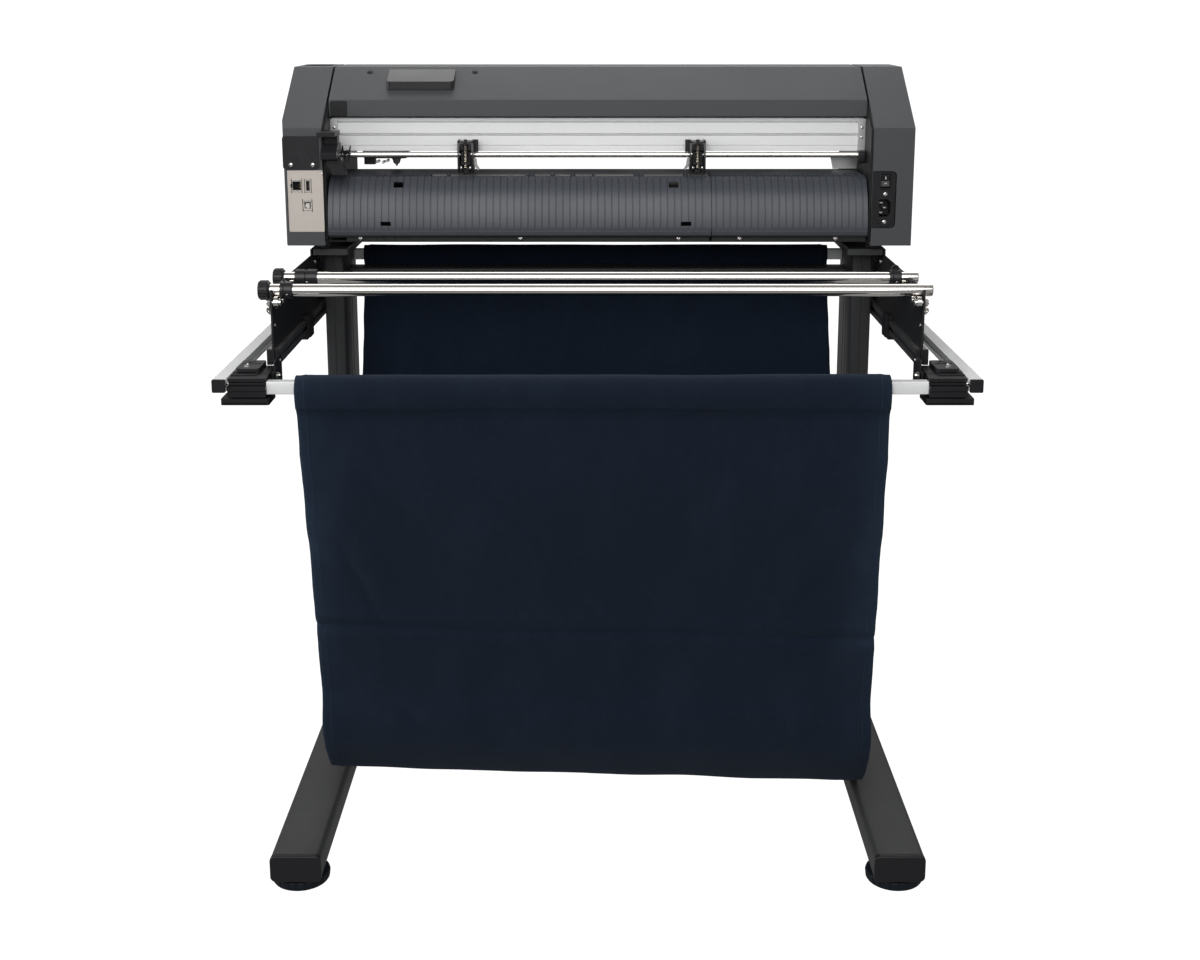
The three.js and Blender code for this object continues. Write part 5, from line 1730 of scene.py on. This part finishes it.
# ---- carriage -------------------------------------------------------------------------
class CUTTER_OT_carriage(bpy.types.Operator):
    """Adds the tool carriage and the blade holder"""
    bl_idname = "cutter.carriage"
    bl_label = "Tool carriage"

    def execute(self, context):
        bm = bmesh.new()
        add_prism(bm, rounded((-352, 905), (-284, 968), 5, 6), "Y", 150.6, 174)
        add_prism(bm, rounded((-346, 911), (-290, 962), 7, 8), "Y", 173, 187)
        add_box(bm, (-350, 150.5, 896), (-334, 168, 906))
        hollow = bmesh.new()
        add_prism(hollow, rounded((-334, 918), (-302, 950), 4, 6), "Y", 182, 190)
        make_piece("carriage_cover", carve(bm, hollow), FINISHES["satin plastic"], body="carriage",
                   replaces=("tool_carriage",), bevel=0.9, segments=3)
        bm = bmesh.new()
        add_prism(bm, rounded((-330, 914), (-286, 956), 3, 5), "Y", 187.2, 191)
        for z in (918, 940):
            ring = bmesh.new()
            add_turned(ring, [(z, 9.3), (z, 12.6), (z + 6, 12.6), (z + 6, 9.3), (z, 9.3)],
                       (-308, 203, 0), Z, 48)
            add_mesh(bm, ring)
            add_box(bm, (-313, 190, z), (-303, 193.6, z + 6))
        make_piece("holder_clamp", bm, FINISHES["end plate"], body="carriage",
                   bevel=0.3)
        bm = bmesh.new()
        for x in (-345, -291):
            for z in (916, 957):
                add_screw(bm, (x, 174, z), Y, 2.4, 1.3)
        add_rod(bm, 4.6, (-321, 189, 948), (-321, 199, 948), 24)
        add_rod(bm, 6.4, (-321, 196, 948), (-321, 204, 948), 14)
        for x, z in ((-330, 900), (-322, 899), (-316, 901)):
            add_rod(bm, 2.2, (x, 152, z), (x, 168, z), 20)
        make_piece("carriage_trim", bm, FINISHES["screw steel"], body="carriage",
                   bevel=0.15)
        low, high = cad("blade_holder")
        centre = (low + high) / 2
        bm = bmesh.new()
        add_turned(bm, [(889, 0), (889.2, 1.4), (892, 2.2), (893, 4.6), (899, 6.4), (901, 8.6),
                        (917, 9), (917.4, 8.4), (946.6, 8.4), (947, 9), (949, 9), (949.6, 7.4),
                        (952, 7), (957, 7), (957, 4), (955.5, 4), (955.5, 0)],
                   (centre.x, centre.y, 0), Z, 64)
        make_piece("blade_holder_body", bm, FINISHES["light plastic"], body="holder",
                   replaces=("blade_holder",), bevel=0.15)
        bm = bmesh.new()
        add_turned(bm, [(947.2, 6.9), (947.2, 9.15), (948.8, 9.15), (948.8, 6.9), (947.2, 6.9)],
                   (centre.x, centre.y, 0), Z, 48)
        add_rod(bm, 0.8, (centre.x, centre.y, 888.8), (centre.x, centre.y, 893), 16)
        make_piece("blade_holder_trim", bm, FINISHES["screw steel"], body="holder")
        return {"FINISHED"}


# ---- sockets and panels ---------------------------------------------------------------
class CUTTER_OT_socket_panel(bpy.types.Operator):
    """Adds the steel panel, its sockets, the blank plate and the circuit board"""
    bl_idname = "cutter.socket_panel"
    bl_label = "Socket panel"

    def execute(self, context):
        low, high = cad("io_panel")
        bm = bmesh.new()
        add_prism(bm, rounded((low.x, low.z), (high.x, high.z), 1.2, 3), "Y", low.y, high.y)
        windows = bmesh.new()
        network = [(-436, 870.6), (-423.8, 870.6), (-423.8, 883.2), (-436, 883.2), (-436, 880),
                   (-438.8, 880), (-438.8, 874), (-436, 874)]
        add_prism(windows, network, "Y", low.y - 1, high.y + 1)
        for x, z, half_x, half_z in ((-414, 877, 2.6, 7.0), (-415.5, 849, 4.6, 4.8)):
            add_box(windows, (x - half_x, low.y - 1, z - half_z),
                    (x + half_x, high.y + 1, z + half_z))
        for x, z, half_x, half_z in ((-429.9, 877, 7.3, 10.8), (-414, 877, 4.7, 10.4),
                                     (-415.5, 849, 6.6, 9.2)):
            for way in (-1, 1):
                edge = x + way * half_x
                add_box(windows, (edge - 0.45, low.y - 1, z - half_z),
                        (edge + 0.45, high.y + 1, z + half_z))
        make_piece("io_panel_sheet", carve(bm, windows), FINISHES["panel steel"],
                   replaces=("io_panel",), bevel=0.15)
        self.add_sockets(low.y)
        self.add_plate()
        self.add_board()
        return {"FINISHED"}

    @staticmethod
    def add_sockets(face):
        metal, dark, pins = bmesh.new(), bmesh.new(), bmesh.new()
        for x, z, half_x, half_z, wall in ((-429.9, 877, 6.9, 7.3, 0.8), (-414, 877, 3.5, 7.9, 0.6),
                                           (-415.5, 849, 5.8, 5.9, 0.6)):
            outer = bmesh.new()
            add_box(outer, (x - half_x, face + 1.9, z - half_z), (x + half_x, 55, z + half_z))
            inner = bmesh.new()
            add_box(inner, (x - half_x + wall, face, z - half_z + wall),
                    (x + half_x - wall, 52, z + half_z - wall))
            add_mesh(metal, carve(outer, inner))
            for way in (-1, 1):
                for along in (-half_x * 0.55, half_x * 0.55):
                    add_box(metal, (x + along - 0.9, face - 0.9, z + way * (half_z - 0.1) - 0.25),
                            (x + along + 0.9, face + 0.4, z + way * (half_z - 0.1) + 0.25))
                add_box(metal, (x - half_x, face - 0.5, z + way * (half_z + 0.9) - 0.6),
                        (x + half_x, face + 0.2, z + way * (half_z + 0.9) + 0.6))
        add_box(dark, (-436, 47, 871.4), (-424.2, 53, 882.6))
        for z0, z1 in ((870.6, 871.9), (882.1, 883.4)):
            add_box(dark, (-436.4, face + 1, z0), (-423.6, 52, z1))
        add_box(dark, (-416.4, face + 3, 870.4), (-411.6, 50, 883.6))
        add_box(dark, (-413.6, face + 1.2, 871.5), (-412.4, face + 4, 882.5))
        add_box(dark, (-436.4, face + 2, 871), (-435.9, 50, 873))
        block = bmesh.new()
        add_box(block, (-418.3, face + 0.8, 846.2), (-412.7, 50, 851.8))
        for i in range(8):
            z = 873.4 + i * 1.02
            add_box(pins, (-426.2, face + 5, z - 0.2), (-425.2, 46, z + 0.2))
        for i in range(4):
            z = 873.5 + i * 2.3
            add_box(pins, (-413.8, face + 1.4, z - 0.5), (-413.5, face + 3, z + 0.5))
        make_piece("socket_shells", metal, FINISHES["screw steel"], bevel=0.12)
        make_piece("socket_insides", dark, FINISHES["plate paint"])
        make_piece("socket_tongue", block, FINISHES["light plastic"],
                   bevel=0.3)
        make_piece("socket_pins", pins, FINISHES["gold contact"])

    @staticmethod
    def add_plate():
        """The blank plate over the panel, with its two screws."""
        bm = bmesh.new()
        add_prism(bm, rounded((-448, 900.6), (-396.4, 947.8), 4.2, 8), "Y", 28.4, 30)
        make_piece("blank_plate", bm, FINISHES["satin plastic"], bevel=0.4)
        screws = bmesh.new()
        for x in (-436.5, -405.5):
            add_turned(screws, [(0, 0), (0, 3.4), (0.7, 3.3), (1.6, 2.6), (2.0, 1.4), (2.0, 0)],
                       (x, 28.4, 907), (0, -1, 0), 28)
        add_turned(screws, [(0, 0), (0, 1.5), (0.8, 1.2), (1.0, 0)], (-393.2, 30.6, 893.5),
                   (0, -1, 0), 20)
        make_piece("plate_screw_heads", screws, FINISHES["chrome"])

    @staticmethod
    def add_board():
        high = cad("circuit_board")[1]
        bm = bmesh.new()
        add_box(bm, (-404, 58, 808), (-402.4, high.y, high.z))
        add_box(bm, (-441, 54.6, 840), (-402.4, 56.2, 892))
        make_piece("circuit_board_sheets", bm, FINISHES["board green"],
                   replaces=("circuit_board",), bevel=0.1)
        chips = bmesh.new()
        for y, z, half_y, half_z in ((110, 900, 12, 12), (150, 860, 8, 5), (170, 905, 6, 4),
                                     (200, 870, 14, 7), (240, 900, 9, 9), (265, 850, 7, 10),
                                     (90, 850, 5, 8), (220, 830, 10, 4)):
            add_box(chips, (-406.6, y - half_y, z - half_z), (-404, y + half_y, z + half_z))
        for y in (130, 142, 154):
            add_rod(chips, 4.6, (-404, y, 826), (-416, y, 826), 24)
        make_piece("board_chips", chips, FINISHES["chip black"], bevel=0.3)


class CUTTER_OT_power_inlet(bpy.types.Operator):
    """Adds the mains inlet, its rocker switch and the power supply"""
    bl_idname = "cutter.power_inlet"
    bl_label = "Mains inlet"

    def execute(self, context):
        low, high = cad("power_inlet")
        face = 33.5
        bm = bmesh.new()
        add_prism(bm, rounded((low.x, low.z), (high.x, high.z), 6.5, 8, skip=(0, 3)), "Y",
                  face, 35.2)
        flange = [(399.5, 829), (399.5, 861), (406.6, 871.5), (415.4, 871.5), (422.5, 861),
                  (422.5, 829), (415.4, 818.5), (406.6, 818.5)]
        add_prism(bm, flange, "Y", face - 1.4, face + 0.4)
        add_prism(bm, rounded((400, 834), (422, 856), 1.5, 3), "Y", face, 56)
        add_prism(bm, rounded((403, 872), (419, 895), 1.5, 3), "Y", face - 1.2, face + 0.4)
        openings = bmesh.new()
        mouth = [(402.6, 832.4), (402.6, 857.6), (414.6, 857.6), (419.4, 852.8), (419.4, 837.2),
                 (414.6, 832.4)]
        add_prism(openings, mouth, "Y", face - 3, 52)
        add_box(openings, (404.2, face - 3, 873.2), (417.8, 40, 893.8))
        make_piece("power_inlet_housing", carve(bm, openings), FINISHES["black plastic"],
                   replaces=("power_inlet",), bevel=0.35)
        pins = bmesh.new()
        for x, z in ((406.5, 852), (411.5, 845), (406.5, 838)):
            add_box(pins, (x - 2.2, face + 5, z - 1.0), (x + 2.2, 52.5, z + 1.0))
        for z in (825, 865):
            add_screw(pins, (411, face - 1.4, z), (0, -1, 0), 3.0, 1.4)
        make_piece("inlet_pins", pins, FINISHES["screw steel"], bevel=0.25)
        self.add_rocker()
        low, high = cad("power_supply")
        bm = bmesh.new()
        add_box(bm, low, high)
        holes = bmesh.new()
        for i in range(9):
            for j in range(5):
                y, z = 150 + 16 * i, 812 + 14 * j
                add_rod(holes, 3.4, (low.x - 1, y, z), (low.x + 1.5, y, z), 6)
        make_piece("power_supply_case", carve(bm, holes), FINISHES["motor steel"],
                   replaces=("power_supply",), bevel=0.6)
        return {"FINISHED"}

    @staticmethod
    def add_rocker():
        bm = bmesh.new()
        outline = [(34.0, 874.4), (33.4, 876), (35.6, 883.5), (32.2, 892), (33.4, 892.8),
                   (40.6, 891.5), (40.6, 875.5)]
        add_prism(bm, outline, "X", 404.8, 417.2)
        make_piece("rocker_button", bm, FINISHES["satin plastic"], body="rocker",
                   replaces=("power_rocker",), bevel=0.5, segments=3)
        marks = bmesh.new()
        add_box(marks, (410.4, 32.6, 886), (411.6, 34.4, 890))
        add_turned(marks, [(0, 1.2), (0, 2.0), (0.35, 2.0), (0.35, 1.2), (0, 1.2)],
                   (411, 34.45, 879), (0, -1, -0.25), 28)
        make_piece("rocker_marks", marks, FINISHES["white print"], body="rocker")


class CUTTER_OT_keypad(bpy.types.Operator):
    """Adds the keypad and the small display on the operator's side"""
    bl_idname = "cutter.keypad"
    bl_label = "Keypad"

    def execute(self, context):
        slope = math.atan2(TOP_Z - FRONT_Z, FRONT_Y - TOP_FRONT_Y)
        turn = Matrix.Translation((-421, 307, 1012)) @ Matrix.Rotation(-slope, 4, "X")
        for key, across, along in (("up", 0, 1), ("down", 0, -1), ("left", -1, 0), ("right", 1, 0)):
            bm = bmesh.new()
            add_turned(bm, [(-5, 0), (-5, 5), (1.0, 5), (1.6, 4.6), (1.8, 3.6), (1.5, 0)],
                       (across * 15, -along * 15, 0), Z, 40)
            bmesh.ops.transform(bm, matrix=turn, verts=bm.verts)
            make_piece(f"key_{key}_cap", bm, FINISHES["light plastic"], body=f"key_{key}",
                       replaces=(f"key_{key}",))
            bm = bmesh.new()
            heading = math.atan2(-along, across)
            points = [(across * 15 + 2.3 * math.cos(heading + a),
                       -along * 15 + 2.3 * math.sin(heading + a))
                      for a in (0, math.tau / 3, 2 * math.tau / 3)]
            add_prism(bm, points, "Z", 1.5, 1.85)
            bmesh.ops.transform(bm, matrix=turn, verts=bm.verts)
            make_piece(f"key_{key}_mark", bm, FINISHES["chip black"], body=f"key_{key}")
        bm = bmesh.new()
        add_turned(bm, [(-1.5, 0), (-1.5, 6.2), (0.5, 6.2), (0.8, 5.8), (0.8, 0)], (0, 0, 0), Z, 40)
        bmesh.ops.transform(bm, matrix=turn, verts=bm.verts)
        make_piece("enter_key", bm, FINISHES["satin plastic"])
        bm = bmesh.new()
        add_prism(bm, rounded((-443, 196), (-401, 252), 3, 6), "Z", TOP_Z - 0.4, TOP_Z + 0.0)
        make_piece("display_frame", bm, FINISHES["satin plastic"])
        return {"FINISHED"}


# ---- frame nodes that keep their own shape ---------------------------------------------
class CUTTER_OT_kept_nodes(bpy.types.Operator):
    """Gives the frame nodes that keep their shape their finishes"""
    bl_idname = "cutter.kept_nodes"
    bl_label = "Kept frame pieces"

    def execute(self, context):
        for node in ("side_frame_left", "side_frame_right"):
            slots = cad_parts[node].material_slots
            for slot in slots:
                slot.material = FINISHES["plate paint"]
        return {"FINISHED"}


# ---- sidebar and running --------------------------------------------------------------
OPERATORS = (
    CUTTER_OT_stage, CUTTER_OT_legs, CUTTER_OT_feet, CUTTER_OT_columns, CUTTER_OT_roller_plates,
    CUTTER_OT_media_rollers, CUTTER_OT_basket_rails, CUTTER_OT_slide_blocks,
    CUTTER_OT_basket_cloth, CUTTER_OT_end_covers, CUTTER_OT_top_cover, CUTTER_OT_platen,
    CUTTER_OT_beam, CUTTER_OT_media_drive, CUTTER_OT_pinch_units, CUTTER_OT_lever,
    CUTTER_OT_carriage, CUTTER_OT_socket_panel, CUTTER_OT_power_inlet, CUTTER_OT_keypad,
    CUTTER_OT_kept_nodes)


class CUTTER_PT_sidebar(bpy.types.Panel):
    """Lists the cutter's pieces in the 3D view's sidebar"""
    bl_idname = "CUTTER_PT_sidebar"
    bl_label = "Vinyl Cutter Pieces"
    bl_space_type = "VIEW_3D"
    bl_region_type = "UI"
    bl_category = "Cutter"

    def draw(self, context):
        for group in (context.scene.cutter_sizes, context.scene.cutter_finishes):
            for name in group.bl_rna.properties.keys():
                if name not in ("rna_type", "name"):
                    self.layout.prop(group, name)
        for operator in OPERATORS:
            self.layout.operator(operator.bl_idname)


CLASSES = (CutterSizes, CutterFinishes, *OPERATORS, CUTTER_PT_sidebar)


def register():
    for cls in CLASSES:
        bpy.utils.register_class(cls)
    bpy.types.Scene.cutter_sizes = bpy.props.PointerProperty(type=CutterSizes)
    bpy.types.Scene.cutter_finishes = bpy.props.PointerProperty(type=CutterFinishes)


def unregister():
    del bpy.types.Scene.cutter_finishes
    del bpy.types.Scene.cutter_sizes
    for cls in reversed(CLASSES):
        bpy.utils.unregister_class(cls)


def main():
    register()
    make_finishes(bpy.context.scene.cutter_finishes)
    for operator in OPERATORS:
        getattr(bpy.ops.cutter, operator.bl_idname.split(".")[1])()


if __name__ == "__main__":
    main()
